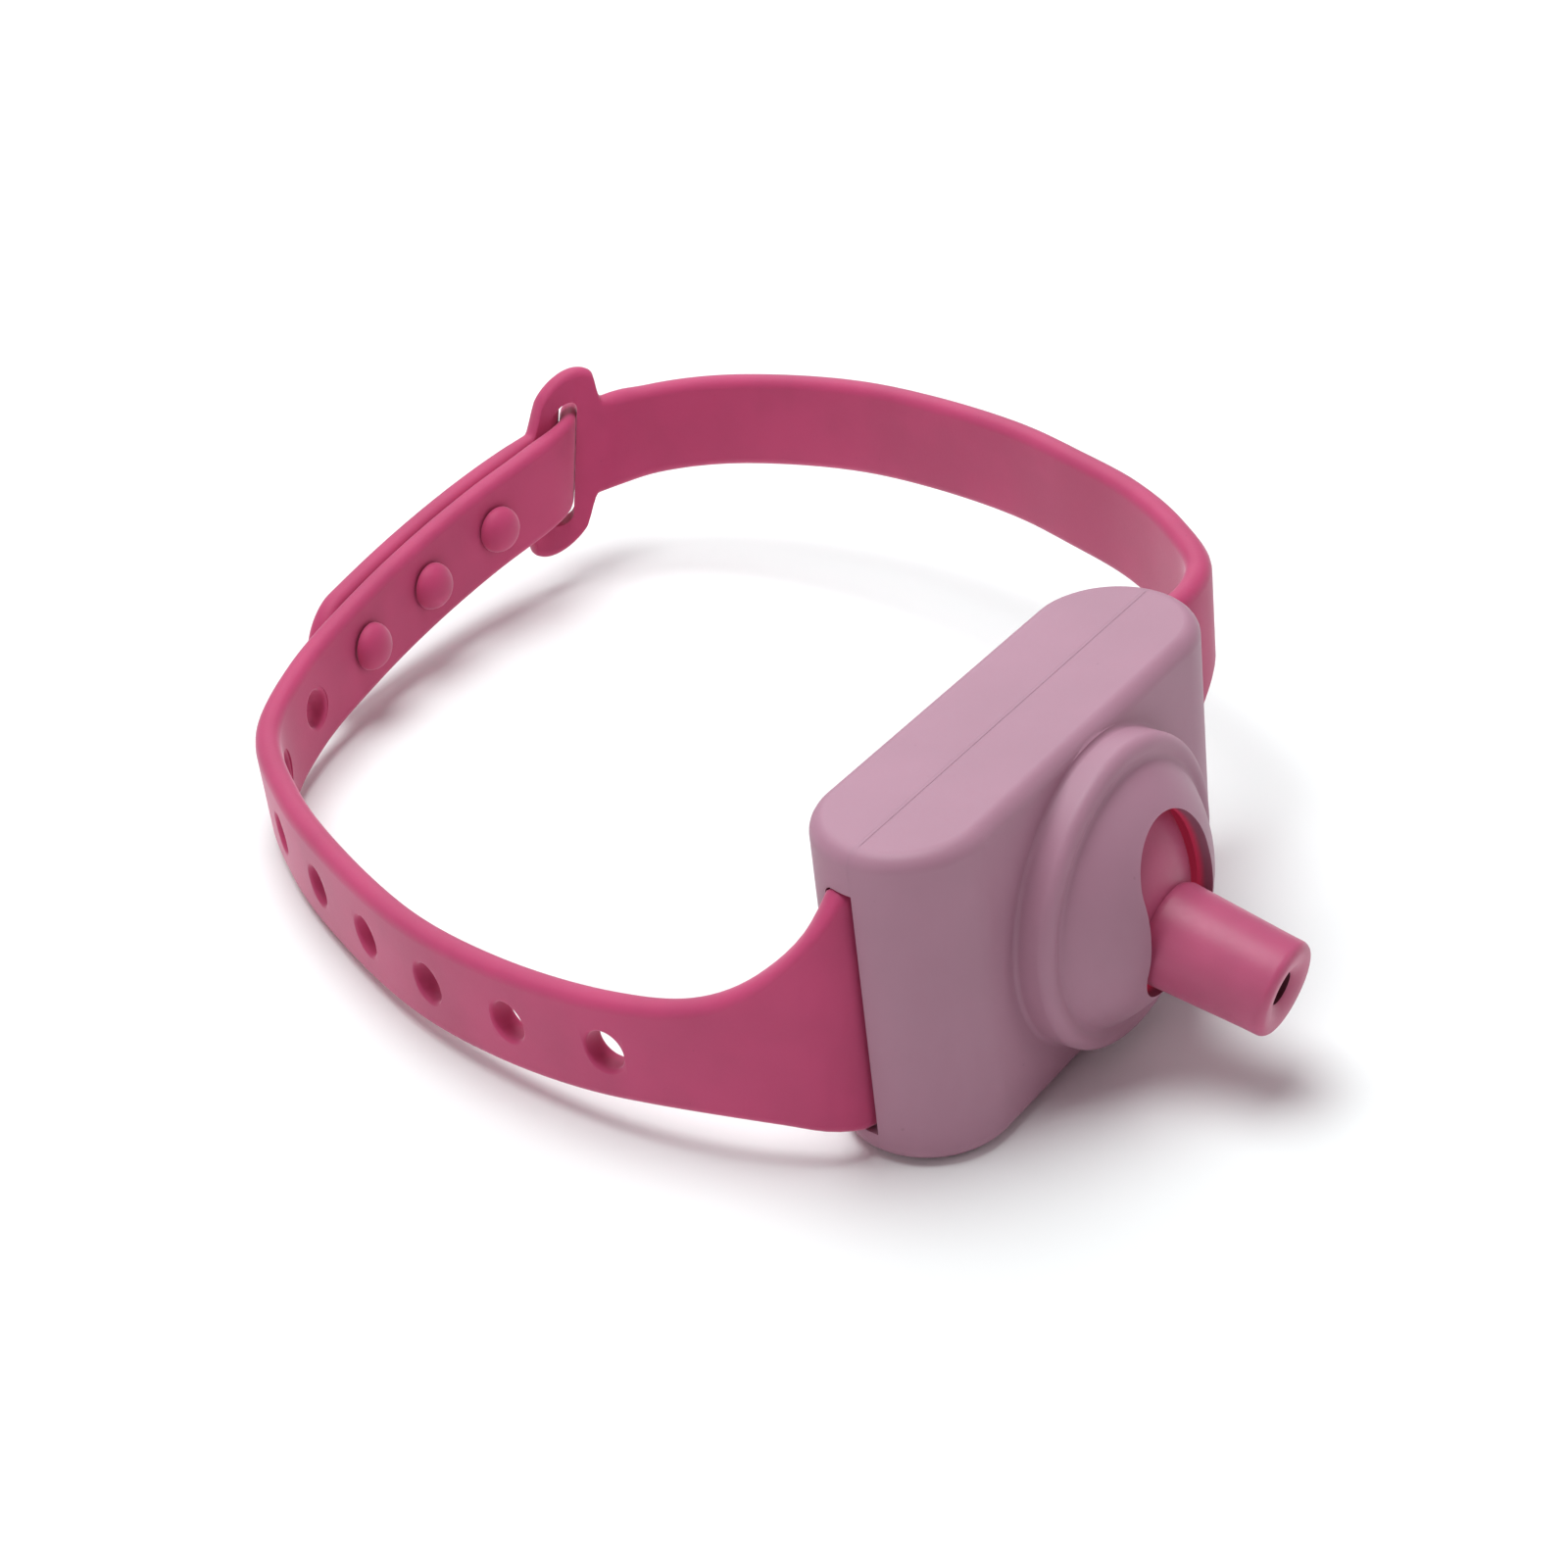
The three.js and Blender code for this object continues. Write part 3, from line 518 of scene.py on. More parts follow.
def settle(piece, name, body, materials, nodes=(), angle=38.0):
    """Brings a finished piece from millimetres to its place in the frame, names it, and hides the CAD nodes
    that it stands in for.
    """
    only(piece)
    piece.name = piece.data.name = name
    if len(piece.data.materials) == 0:
        piece.data.materials.append(materials[0])
    piece.scale = (MM,) * 3
    piece.location = (0, PARTING_Y, 0)
    apply_place(piece)
    bpy.ops.object.shade_smooth_by_angle(angle=math.radians(angle))
    bpy.ops.object.modifier_add(type="WEIGHTED_NORMAL")
    weighted = piece.modifiers[-1]
    weighted.keep_sharp = True
    bpy.ops.object.modifier_apply(modifier=weighted.name)
    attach(piece, body)
    if nodes:
        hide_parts(*nodes)
    return piece


def dress(material, *nodes):
    """Gives CAD nodes that stay a better material."""
    for name in nodes:
        node = frame["nodes"][name]
        if not node.material_slots:
            node.data.materials.append(material)
        for place in node.material_slots:
            place.material = material


def painted(piece, material):
    piece.data.materials.clear()
    piece.data.materials.append(material)
    return piece


def palette():
    """The materials that several pieces share, made once."""
    colours = bpy.context.scene.collar_colours
    makers = {
        "shell": lambda: shell_plastic("shell_plastic", colours.shell),
        "silicone": lambda: silicone("strap_silicone", colours.silicone),
        "nozzle": lambda: nozzle_plastic("nozzle_plastic", colours.nozzle),
        # The slot wall's material is painted glow, not the plastic's own colour.
        "slot": lambda: slot_wall_painted_glow("slot_wall_painted_glow", colours.slot, colours.shell),
        "steel": lambda: metal("stamped_steel", (0.56, 0.57, 0.59), 0.26, 0.6),
        "brass": lambda: metal("turned_brass", (0.72, 0.52, 0.20), 0.20, 0.3),
    }
    return {
        key: bpy.data.materials.get(f"kept_{key}") or named(make(), f"kept_{key}")
        for key, make in makers.items()
    }


def named(material, name):
    material.name = name
    return material


def case_sizes():
    """The case's length, depth, height, front and rear depths, wall and rim, in millimetres."""
    case = bpy.context.scene.collar_case
    front, rear = case.front / MM, case.rear / MM
    return case.length / MM, front + rear, case.height / MM, front, rear, case.wall / MM, case.rim / MM


def case_block(inset, rim):
    """The case outline, a bar with full-round ends, inset by a wall and rounded at its rims."""
    long, deep, high, front, rear, _, _ = case_sizes()
    block = box((long - 2 * inset, deep - 2 * inset, high - 2 * inset), (0, (rear - front) / 2, 0))
    select_edges(block, lambda a, b: abs(a.z - b.z) > 1)
    bpy.ops.mesh.bevel(offset=(deep / 2 - inset) * 0.999, segments=24, affect="EDGES")
    bpy.ops.object.mode_set(mode="OBJECT")
    if rim:
        top = high / 2 - inset - 0.01
        select_edges(block, lambda a, b: abs(a.z) > top and abs(b.z) > top and a.z * b.z > 0)
        bpy.ops.mesh.bevel(offset=rim, segments=7, affect="EDGES")
        bpy.ops.object.mode_set(mode="OBJECT")
    return block


def halve(block, side):
    """Keeps one side of the parting plane: -1 is the front and 1 the rear."""
    edit(block)
    bpy.ops.mesh.select_all(action="SELECT")
    bpy.ops.mesh.bisect(
        plane_co=(0, side * SEAM, 0), plane_no=(0, -side, 0), clear_outer=True, use_fill=True
    )
    bpy.ops.object.mode_set(mode="OBJECT")
    return block


# ---------------------------------------------------------------- case
def swivel_y():
    """Distance of the swivel axis from the parting plane, from the frame's hinge."""
    joint = next(j for j in frame["joints"] if j["name"] == "nozzle_swivel")
    return (joint["pos_m"][1] - PARTING_Y) / MM


def dome_boss():
    """Coved foot, rounded ring, soft groove and dome, as one turned solid."""
    dome = bpy.context.scene.collar_dome
    front = case_sizes()[3]
    radius, ring, groove = dome.radius / MM, dome.ring / MM, dome.groove / MM
    ball = Vector((0, swivel_y()))
    crest = ball.y - math.sqrt(radius**2 - groove**2) - 0.3
    cove, bead, hollow = 0.45, 1.1, 0.6
    bead_middle = Vector((ring - bead, crest + bead))
    # The groove's circle touches both the bead and the ball.
    apart = bead_middle - ball
    along = (apart.length**2 + (radius + hollow) ** 2 - (bead + hollow) ** 2) / (2 * apart.length)
    aside = math.sqrt((radius + hollow) ** 2 - along**2)
    towards = apart.normalized()
    pit = ball + along * towards + aside * Vector((towards.y, -towards.x))

    def angle(start, end):
        return math.degrees(math.atan2(end.y - start.y, end.x - start.x))

    skirt = [(0, -front + 1.5), (ring + cove + 0.35, -front + 1.5), (ring + cove + 0.35, -front + 0.45)]
    foot = arc((ring + cove, -front - cove), cove, 90, 180, 6)
    outer = arc(bead_middle, bead, 0, angle(bead_middle, pit), 10)
    valley = arc(pit, hollow, angle(pit, bead_middle), angle(pit, ball), 8)[1:]
    start = math.asin(pit.x / (radius + hollow))
    slopes = [start * (1 - i / 16) for i in range(1, 17)]
    cap = [(radius * math.sin(a), ball.y - radius * math.cos(a)) for a in slopes]
    return spun([*skirt, *foot, *outer, *valley, *cap], 128)


def slot_tool():
    """Upright slot with round ends: a round bar whose halves are moved apart."""
    dome = bpy.context.scene.collar_dome
    half = dome.slot_width / 2 / MM
    spread = dome.slot_height / 2 / MM - half
    front = case_sizes()[3]
    tool = rod(half, (0, -front - 14, 0), (0, -front + 0.6, 0), 64)
    for side in (-1, 1):
        edit(tool)
        bpy.ops.object.mode_set(mode="OBJECT")
        for vertex in tool.data.vertices:
            vertex.select = side * vertex.co.z > 0.01
        bpy.ops.object.mode_set(mode="EDIT")
        bpy.ops.transform.translate(value=(0, 0, side * spread))
        bpy.ops.object.mode_set(mode="OBJECT")
    return tool


class COLLAR_OT_front_shell(bpy.types.Operator):
    """Front half of the case with its ring, dome and slot"""

    bl_idname = "collar.front_shell"
    bl_label = "Front Shell"

    def execute(self, context):
        mats = palette()
        wall, rim = case_sizes()[5:]
        dome = context.scene.collar_dome
        shell = painted(halve(case_block(0, rim), -1), mats["shell"])
        unite(shell, painted(dome_boss(), mats["shell"]))
        carve(shell, painted(case_block(wall, 0), mats["shell"]))
        bpy.ops.mesh.primitive_uv_sphere_add(
            segments=64, ring_count=32, radius=dome.radius / MM - DOME_WALL, location=(0, swivel_y(), 0)
        )
        carve(shell, painted(apply_place(context.object), mats["slot"]))
        carve(shell, painted(slot_tool(), mats["slot"]))
        settle(shell, "front_case_shell", "case", [mats["shell"]], ["front_shell"])
        return {"FINISHED"}


class COLLAR_OT_rear_shell(bpy.types.Operator):
    """Neck half of the case with its strap slots, screw recesses and underside openings"""

    bl_idname = "collar.rear_shell"
    bl_label = "Rear Shell"

    def execute(self, context):
        mats = palette()
        long, _, high, _, rear, wall, rim = case_sizes()
        shell = painted(halve(case_block(0, rim), 1), mats["shell"])
        carve(shell, painted(case_block(wall, 0), mats["shell"]))
        low, top = FLARE_BOTTOM - SLOT_AIR, FLARE_TOP + SLOT_AIR
        for side in (-1, 1):
            slot = box((7, 4.05, top - low), (side * long / 2, 1.03, (top + low) / 2))
            select_edges(slot, lambda a, b: abs(a.x - b.x) > 1)
            bpy.ops.mesh.bevel(offset=1.05, segments=5, affect="EDGES")
            bpy.ops.object.mode_set(mode="OBJECT")
            carve(shell, painted(slot, mats["shell"]))
        for i in range(1, 5):
            lowest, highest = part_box(f"case_screw_{i}")
            x, z = (lowest.x + highest.x) / 2 / MM, (lowest.z + highest.z) / 2 / MM
            unite(shell, painted(rod(2.3, (x, 0.3, z), (x, rear - 0.6, z)), mats["shell"]))
            carve(shell, painted(rod(1.15, (x, -1, z), (x, rear, z), 32), mats["shell"]))
            carve(shell, painted(rod(1.95, (x, 5.2, z), (x, rear + 1, z)), mats["shell"]))
        underside = -high / 2
        cover_low, cover_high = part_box("port_cover")
        x0, x1 = cover_low.x / MM - PORT_AIR, cover_high.x / MM + PORT_AIR
        y0, y1 = (cover_low.y - PARTING_Y) / MM - PORT_AIR, (cover_high.y - PARTING_Y) / MM + PORT_AIR
        middle = ((x0 + x1) / 2, (y0 + y1) / 2)
        carve(shell, painted(box((x1 - x0, y1 - y0, 1.9), (*middle, underside)), mats["shell"]))
        carve(shell, painted(box((8.3, 3.2, 4), (*middle, underside)), mats["shell"]))
        for node, radius in (("power_button", 2.3), ("light_pipe", 1.2)):
            lowest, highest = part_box(node)
            x = (lowest.x + highest.x) / 2 / MM
            hole = rod(radius, (x, middle[1], underside - 1), (x, middle[1], underside + 2))
            carve(shell, painted(hole, mats["shell"]))
        soften(shell, 0.04)
        settle(shell, "rear_case_shell", "case", [mats["shell"]], ["rear_shell"])
        return {"FINISHED"}


# ---------------------------------------------------------------- nozzle
class COLLAR_OT_nozzle(bpy.types.Operator):
    """Nozzle with its curved shield, turned down to its rest angle"""

    bl_idname = "collar.nozzle"
    bl_label = "Nozzle"

    def execute(self, context):
        mats = palette()
        nozzle = context.scene.collar_nozzle
        reach, root, tip, ball = (v / MM for v in (nozzle.reach, nozzle.root, nozzle.tip, nozzle.shield))
        half = SHIELD_HALF_WIDTH
        bpy.ops.mesh.primitive_uv_sphere_add(
            segments=96, ring_count=64, radius=ball, rotation=(0, math.pi / 2, 0)
        )
        shield = painted(apply_place(context.object), mats["nozzle"])
        bpy.ops.mesh.primitive_uv_sphere_add(segments=64, ring_count=32, radius=ball - SHIELD_WALL)
        carve(shield, painted(context.object, mats["nozzle"]))
        wedge = box((2 * half, ball * 2, ball * 4), (0, -ball - ball * math.cos(SHIELD_SPREAD), 0))
        carve(shield, painted(wedge, mats["nozzle"]), "INTERSECT")
        soften(shield, 0.25)
        edge = 0.75
        body = spun(
            [
                (0, -9.6),
                (4.2, -9.6),
                (4.2, -ball + 1.2),
                (root, -ball + 0.1),
                (tip + 0.02, -reach + 2.2),
                *arc((tip - edge, -reach + edge), edge, 0, -90, 6),
                (3.0, -reach + 0.02),
                (2.6, -reach + 0.1),
                (APERTURE + 0.35, -reach + 0.42),
                (APERTURE + 0.1, -reach + 0.65),
                (APERTURE, -reach + 3.9),
                (3.2, -reach + 3.9),
                (3.2, -reach + 5.5),
                (0, -reach + 5.5),
            ]
        )
        body = painted(body, mats["nozzle"])
        body.data.materials.append(painted_shade_mouth("mouth_painted_shade"))
        # Painted shade: the faces of the mouth's wall get the near-black material, which stands in for the
        # shade inside the hole.
        for face in body.data.polygons:
            if math.hypot(face.center.x, face.center.z) < APERTURE + 0.11 and face.center.y < -reach + 4:
                face.material_index = 1
        unite(shield, body)
        bore = rod(BORE, (0, -reach + 4.5, 0), (0, -9, 0))
        carve(shield, painted(bore, mats["nozzle"]))
        for side in (-1, 1):
            cheek = box((1.2, 13.5, 7.5), (side * (half - 0.6), -4.7, 0))
            hub = rod(2.2, (side * (half - 0.2), 0, 0), (side * (5.9 if side > 0 else 8.0), 0, 0), 32)
            unite(shield, painted(cheek, mats["nozzle"]), painted(hub, mats["nozzle"]))
        shield.rotation_euler.x = nozzle.rest
        shield.location.y = swivel_y()
        apply_place(shield)
        settle(shield, "swivel_nozzle", "swivel", [mats["nozzle"]], ["nozzle_head"])
        return {"FINISHED"}


# ---------------------------------------------------------------- straps
DROOP = -0.099  # the loop sinks towards its back
LEAN = 0.153  # and rises towards the case's studded end
FLARE_TOP, FLARE_BOTTOM, FLARE_LENGTH = 10.9, -12.6, 20.0
TAB = 4.4  # strap held inside the case
FIRST_HOLE, HOLE_COUNT, STUD_COUNT = 26.4, 11, 3  # the holes start from the strap's inner end
EAR_MIDDLE, EAR_LENGTH = 39.6, 9.6  # distance from the tongue's tip
EAR_SLOT_HALF_HEIGHT = 6.6
EAR_LEAN = 0.28  # the ears' tops stand this far along X per millimetre of height
STUD_NECK, STUD_HEAD, STUD_CROWN = 1.6, 2.55, 1.85

# Middle of the strap's thickness, seen from above: from the case's left end round the back.
HOLE_LINE = [
    (-19.4, 1.5), (-21.2, 1.5), (-23.0, 1.6), (-25.3, 3.2), (-27.0, 6.8), (-28.6, 12), (-29.7, 18.5),
    (-30, 26), (-29.1, 36), (-26.6, 47.3), (-20.7, 62), (-14.5, 73.6), (-6.8, 83.3), (2.8, 87.7),
    (13.7, 89.5), (24, 90), (34, 89.4), (42, 88.1), (46.6, 87.8), (50.3, 90.0), (53.8, 90.6),
]
# From the tongue's tip through the ears and down the right side.
STUD_LINE = [
    (8.9, 91.9), (14, 92.4), (24, 92.8), (34, 92.2), (42.5, 90.6), (48.6, 88.3), (52.6, 85.4),
    (55.7, 81), (58, 75), (59.3, 66.5), (59.4, 56), (57.7, 45), (54.6, 33.3), (51.1, 24.6),
    (47.1, 15.9), (42, 8.2), (36.4, 2.5), (31.6, 1.3), (27.6, 1.6), (23.6, 1.5), (21.2, 1.5),
    (19.4, 1.5),
]


def smooth(t):
    u = min(1.0, max(0.0, t))
    return u * u * (3 - 2 * u)


class Line:
    """A centripetal spline through points seen from above, in the loop's tilted plane."""

    FINE = 40

    def __init__(self, points):
        points = [Vector((x, y, DROOP * y + LEAN * x)) for x, y in points]
        ends = [2 * points[0] - points[1], *points, 2 * points[-1] - points[-2]]
        self.dots = [points[0]]
        for p0, p1, p2, p3 in zip(ends, ends[1:], ends[2:], ends[3:]):
            knots = [0.0]
            for a, b in ((p0, p1), (p1, p2), (p2, p3)):
                knots.append(knots[-1] + max((b - a).length, 1e-6) ** 0.5)
            for i in range(1, self.FINE + 1):
                t = knots[1] + (knots[2] - knots[1]) * i / self.FINE
                self.dots.append(self.blend([p0, p1, p2, p3], knots, t))
        self.reached = [0.0]
        for a, b in zip(self.dots, self.dots[1:]):
            self.reached.append(self.reached[-1] + (b - a).length)
        self.length = self.reached[-1]

    @staticmethod
    def blend(points, knots, t):
        """Point of the middle span, by repeated mixing."""

        def part(a, b, i, j):
            return a.lerp(b, (t - knots[i]) / (knots[j] - knots[i]))

        first = [part(points[i], points[i + 1], i, i + 1) for i in range(3)]
        second = [part(first[i], first[i + 1], i, i + 2) for i in range(2)]
        return part(second[0], second[1], 1, 2)

    def at(self, distance):
        distance = min(self.length, max(0.0, distance))
        low, high = 0, len(self.reached) - 1
        while high - low > 1:
            middle = (low + high) // 2
            low, high = (middle, high) if self.reached[middle] <= distance else (low, middle)
        share = (distance - self.reached[low]) / max(1e-9, self.reached[high] - self.reached[low])
        return self.dots[low].lerp(self.dots[high], share)

    def out(self, distance):
        """Level direction out of the loop."""
        ahead = self.at(distance + 0.15) - self.at(distance - 0.15)
        return Vector((0, 0, 1)).cross(ahead).normalized()


def flared(band, root, from_case, power):
    """One edge of the strap: from its height at the case to the plain band's."""
    t = min(1.0, max(0.0, from_case / FLARE_LENGTH))
    return band + (root - band) * (1 - t) ** power


def round_tip(distance, width):
    """Share of the full width at a distance from a half-round end."""
    t = min(1.0, (distance + 0.02) / (width / 2))
    return math.sqrt(max(0.0, 1 - (1 - t) ** 2))


def section(thick, low, high, corner):
    """Rounded oblong round the strap: (outwards, height) points."""
    t = thick / 2
    corner = min(corner, t * 0.92, (high - low) * 0.45)
    points = []
    for across, up, start in ((1, 1, 0), (-1, 1, 90), (-1, -1, 180), (1, -1, 270)):
        centre = (across * (t - corner), (high if up > 0 else low) - up * corner)
        points += arc(centre, corner, start, start + 90, 4)
        along = 3
        if across * up < 0:
            side = centre[0] - corner if across < 0 else centre[0] + corner
            other = (low if up > 0 else high) + up * corner
            steps = [i / (along + 1) for i in range(1, along + 1)]
            points += [(side, centre[1] + (other - centre[1]) * share) for share in steps]
    return points


def ribbon(line, distances, edges, thick, lean=lambda d: 0.0, corner=1.1):
    """A flat strap along a line: a grid rolled into a closed band, with its ends filled."""
    rings = []
    for d in distances:
        at, out = line.at(d), line.out(d)
        low, high = edges(d, at.z)
        rings.append([
            Vector((at.x + o * out.x + lean(d) * (z - at.z), at.y + o * out.y, z))
            for o, z in section(thick(d), low, high, corner)
        ])
    around = len(rings[0])
    bpy.ops.mesh.primitive_grid_add(x_subdivisions=len(rings) - 1, y_subdivisions=around, size=1)
    band = bpy.context.object
    for index, vertex in enumerate(band.data.vertices):
        ring, place = index % len(rings), index // len(rings)
        vertex.co = rings[ring][place % around]
    apply_place(band)
    edit(band)
    bpy.ops.mesh.select_all(action="SELECT")
    bpy.ops.mesh.remove_doubles(threshold=0.0005)
    bpy.ops.mesh.select_all(action="SELECT")
    bpy.ops.mesh.fill_holes(sides=0)
    bpy.ops.mesh.select_all(action="SELECT")
    bpy.ops.mesh.normals_make_consistent(inside=False)
    bpy.ops.object.mode_set(mode="OBJECT")
    return band


def spaced(start, end, step):
    count = math.ceil((end - start) / step)
    return [start + (end - start) * i / count for i in range(count + 1)]


def onto(line, distance, piece):
    """Stands a turned piece on a line, its axis pointing out of the loop."""
    out, up = line.out(distance), Vector((0, 0, 1))
    turn = Matrix((out.cross(up), out, up)).transposed().to_4x4()
    piece.matrix_world = Matrix.Translation(line.at(distance)) @ turn
    return apply_place(piece)


def hole_places():
    """Distances of the sizing holes from the strap's inner end."""
    strap = bpy.context.scene.collar_strap
    return [FIRST_HOLE + i * strap.pitch / MM for i in range(HOLE_COUNT)]


def hole_line():
    return Line(HOLE_LINE)


def tail_thick(line, distance):
    return bpy.context.scene.collar_strap.thick / MM - 0.6 * smooth((distance - line.length + 12) / 4)


def tail_lean(line, distance):
    return EAR_LEAN * smooth((distance - line.length + 14) / 7)


class COLLAR_OT_hole_strap(bpy.types.Operator):
    """Silicone strap with its row of rimmed holes, flared where it leaves the case"""

    bl_idname = "collar.hole_strap"
    bl_label = "Strap with Holes"

    def execute(self, context):
        mats = palette()
        strap = context.scene.collar_strap
        width, thick, radius = strap.width / MM, strap.thick / MM, strap.hole / MM
        line = hole_line()

        def edges(d, middle):
            half = width / 2 * round_tip(line.length - d, width)
            return (
                flared(middle - half, FLARE_BOTTOM, d - TAB, 1.5),
                flared(middle + half, FLARE_TOP, d - TAB, 3),
            )

        distances = spaced(0, line.length - 5, 0.9) + spaced(line.length - 4.8, line.length, 0.3)
        band = ribbon(line, distances, edges, lambda d: tail_thick(line, d), lambda d: tail_lean(line, d))
        painted(band, mats["silicone"])
        rim = 0.4
        for place in hole_places():
            face = thick / 2
            flare = arc((radius + rim, -face + rim), rim, 270, 180, 4)
            far = [(r, -y) for r, y in reversed(flare)]
            profile = [(0, -face - 1), (radius + rim, -face - 1), *flare, *far, (radius + rim, face + 1),
                       (0, face + 1)]
            carve(band, painted(onto(line, place, spun(profile, 48)), mats["silicone"]))
        settle(band, "holed_strap", "case", [mats["silicone"]], ["strap_with_holes"], 50)
        return {"FINISHED"}


def snap_stud(thick):
    """Stud that snaps through a hole: neck and a rounded button head on the neck side."""
    face = thick / 2 + 0.3
    crown = [math.radians(angle) for angle in range(0, 91, 10)]
    button = [(STUD_HEAD * math.sin(a), -face - STUD_CROWN * math.cos(a)) for a in crown]
    return spun([*button, (STUD_NECK, -face), (STUD_NECK, face + 1), (0, face + 1)], 48)


class COLLAR_OT_stud_strap(bpy.types.Operator):
    """Silicone strap with the tongue, its three studs and the eared slot"""

    bl_idname = "collar.stud_strap"
    bl_label = "Strap with Studs"

    def execute(self, context):
        mats = palette()
        strap = context.scene.collar_strap
        width, thick, ear_height = strap.width / MM, strap.thick / MM, strap.ear / MM
        line, other = Line(STUD_LINE), hole_line()

        def edges(d, middle):
            away = min(1.0, abs(d - EAR_MIDDLE) / (EAR_LENGTH / 2))
            ear = (ear_height - width / 2) * math.sqrt(1 - away**2) * smooth(3.2 * (1 - away))
            half = width / 2 * round_tip(d, width) + ear
            from_case = line.length - d - TAB
            return (
                flared(middle - half, FLARE_BOTTOM, from_case, 3),
                flared(middle + half, FLARE_TOP, from_case, 1.5),
            )

        def thickness(d):
            return thick - 0.6 * smooth((7.5 - abs(d - EAR_MIDDLE)) / 2.5)

        def lean(d):
            return EAR_LEAN * smooth((11 - abs(d - EAR_MIDDLE)) / 6)

        ear_start, ear_end = EAR_MIDDLE - 7, EAR_MIDDLE + 7
        distances = spaced(0, 4.8, 0.3) + spaced(5, ear_start, 0.9)
        distances += spaced(ear_start + 0.3, ear_end, 0.3) + spaced(ear_end + 0.6, line.length, 0.9)
        band = painted(ribbon(line, distances, edges, thickness, lean), mats["silicone"])
        slot = ribbon(
            other,
            spaced(other.length - 11, other.length - 1, 0.5),
            lambda d, middle: (middle - EAR_SLOT_HALF_HEIGHT, middle + EAR_SLOT_HALF_HEIGHT),
            lambda d: tail_thick(other, d) + 0.16,
            lambda d: tail_lean(other, d),
            1.05,
        )
        carve(band, painted(slot, mats["silicone"]))
        for place in hole_places()[: -STUD_COUNT - 1 : -1]:
            unite(band, painted(onto(other, place, snap_stud(thick)), mats["silicone"]))
        soften(band, 0.22, 50, 3)
        settle(band, "studded_strap", "case", [mats["silicone"]], ["strap_with_studs"], 50)
        return {"FINISHED"}


# ---------------------------------------------------------------- small outside pieces
class COLLAR_OT_small_parts(bpy.types.Operator):
    """Case screws, power button, light guide and charging cover"""

    bl_idname = "collar.small_parts"
    bl_label = "Screws, Button and Cover"

    def screw(self, index, material):
        low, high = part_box(f"case_screw_{index}")
        x, z = (low.x + high.x) / 2 / MM, (low.z + high.z) / 2 / MM
        start, end = (low.y - PARTING_Y) / MM, (high.y - PARTING_Y) / MM
        head, shank = (high.x - low.x) / 2 / MM, 0.85
        turn = 0.42  # pitch of the self-tapping thread's rings
        profile = [(0, start), (0.35, start + 0.5)]
        y = start + 0.7
        while y < end - 1.9:
            profile += [(shank - 0.2, y), (shank, y + turn / 2)]
            y += turn
        under = end - 1.4
        profile += [(shank - 0.15, under), (head - 0.1, under), (head, under + 0.12), (head, end - 0.5)]
        profile += [(head - 0.3, end - 0.18), (head - 0.8, end - 0.02), (0, end)]
        piece = spun(profile, 40)
        piece.location = (x, 0, z)
        apply_place(piece)
        for size in ((head * 1.3, 1.4, 0.42), (0.42, 1.4, head * 1.3)):
            carve(piece, painted(box(size, (x, end, z)), material))
        painted(piece, material)
        node = f"case_screw_{index}"
        settle(piece, f"{node}_threaded", "case", [material], [node], 30)

    def button(self, material):
        low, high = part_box("power_button")
        x, y = (low.x + high.x) / 2 / MM, ((low.y + high.y) / 2 - PARTING_Y) / MM
        bottom, top = low.z / MM, high.z / MM
        cap = 2.0
        bpy.ops.mesh.primitive_cylinder_add(
            vertices=64, radius=cap, depth=top - bottom - 0.5, location=(x, y, (top - 0.5 + bottom) / 2)
        )
        piece = apply_place(bpy.context.object)
        select_edges(piece, lambda a, b: a.z < bottom + 0.01 and b.z < bottom + 0.01)
        bpy.ops.mesh.bevel(offset=0.35, segments=5, affect="EDGES")
        bpy.ops.object.mode_set(mode="OBJECT")
        flange = rod((high.x - low.x) / 2 / MM, (x, y, top - 0.5), (x, y, top), 64)
        unite(painted(piece, material), painted(flange, material))
        bpy.ops.mesh.primitive_uv_sphere_add(
            segments=64, ring_count=32, radius=6, location=(x, y, bottom - 5.8)
        )
        carve(piece, painted(apply_place(bpy.context.object), material))
        settle(piece, "power_button_cap", "button", [material], ["power_button"], 30)

    def cover(self, material):
        low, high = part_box("port_cover")
        x0, x1 = low.x / MM, high.x / MM
        y0, y1 = (low.y - PARTING_Y) / MM, (high.y - PARTING_Y) / MM
        floor, thick = low.z / MM, 0.7
        middle = (y0 + y1) / 2
        plate = box((x1 - x0, y1 - y0, thick), ((x0 + x1) / 2, middle, floor + thick / 2))
        select_edges(plate, lambda a, b: abs(a.z - b.z) > 0.1)
        bpy.ops.mesh.bevel(offset=0.6, segments=6, affect="EDGES")
        bpy.ops.object.mode_set(mode="OBJECT")
        centre = x0 + 6
        low_end, high_end = floor + 0.3, high.z / MM
        tongue = box((5.2, 1.0, high_end - low_end), (centre, middle, (low_end + high_end) / 2))
        unite(painted(plate, material), painted(tongue, material))
        grip = rod(0.45, (x0 + 1.2, y0 - 1, floor - 0.2), (x0 + 1.2, y1 + 1, floor - 0.2), 24)
        carve(plate, painted(grip, material))
        soften(plate, 0.12, 35)
        settle(plate, "charging_cover", "cover", [material], ["port_cover"], 40)

    def execute(self, context):
        mats = palette()
        for index in range(1, 5):
            self.screw(index, mats["steel"])
        self.button(mats["nozzle"])
        self.cover(mats["silicone"])
        dress(frosted("light_guide"), "light_pipe", "status_led")
        return {"FINISHED"}


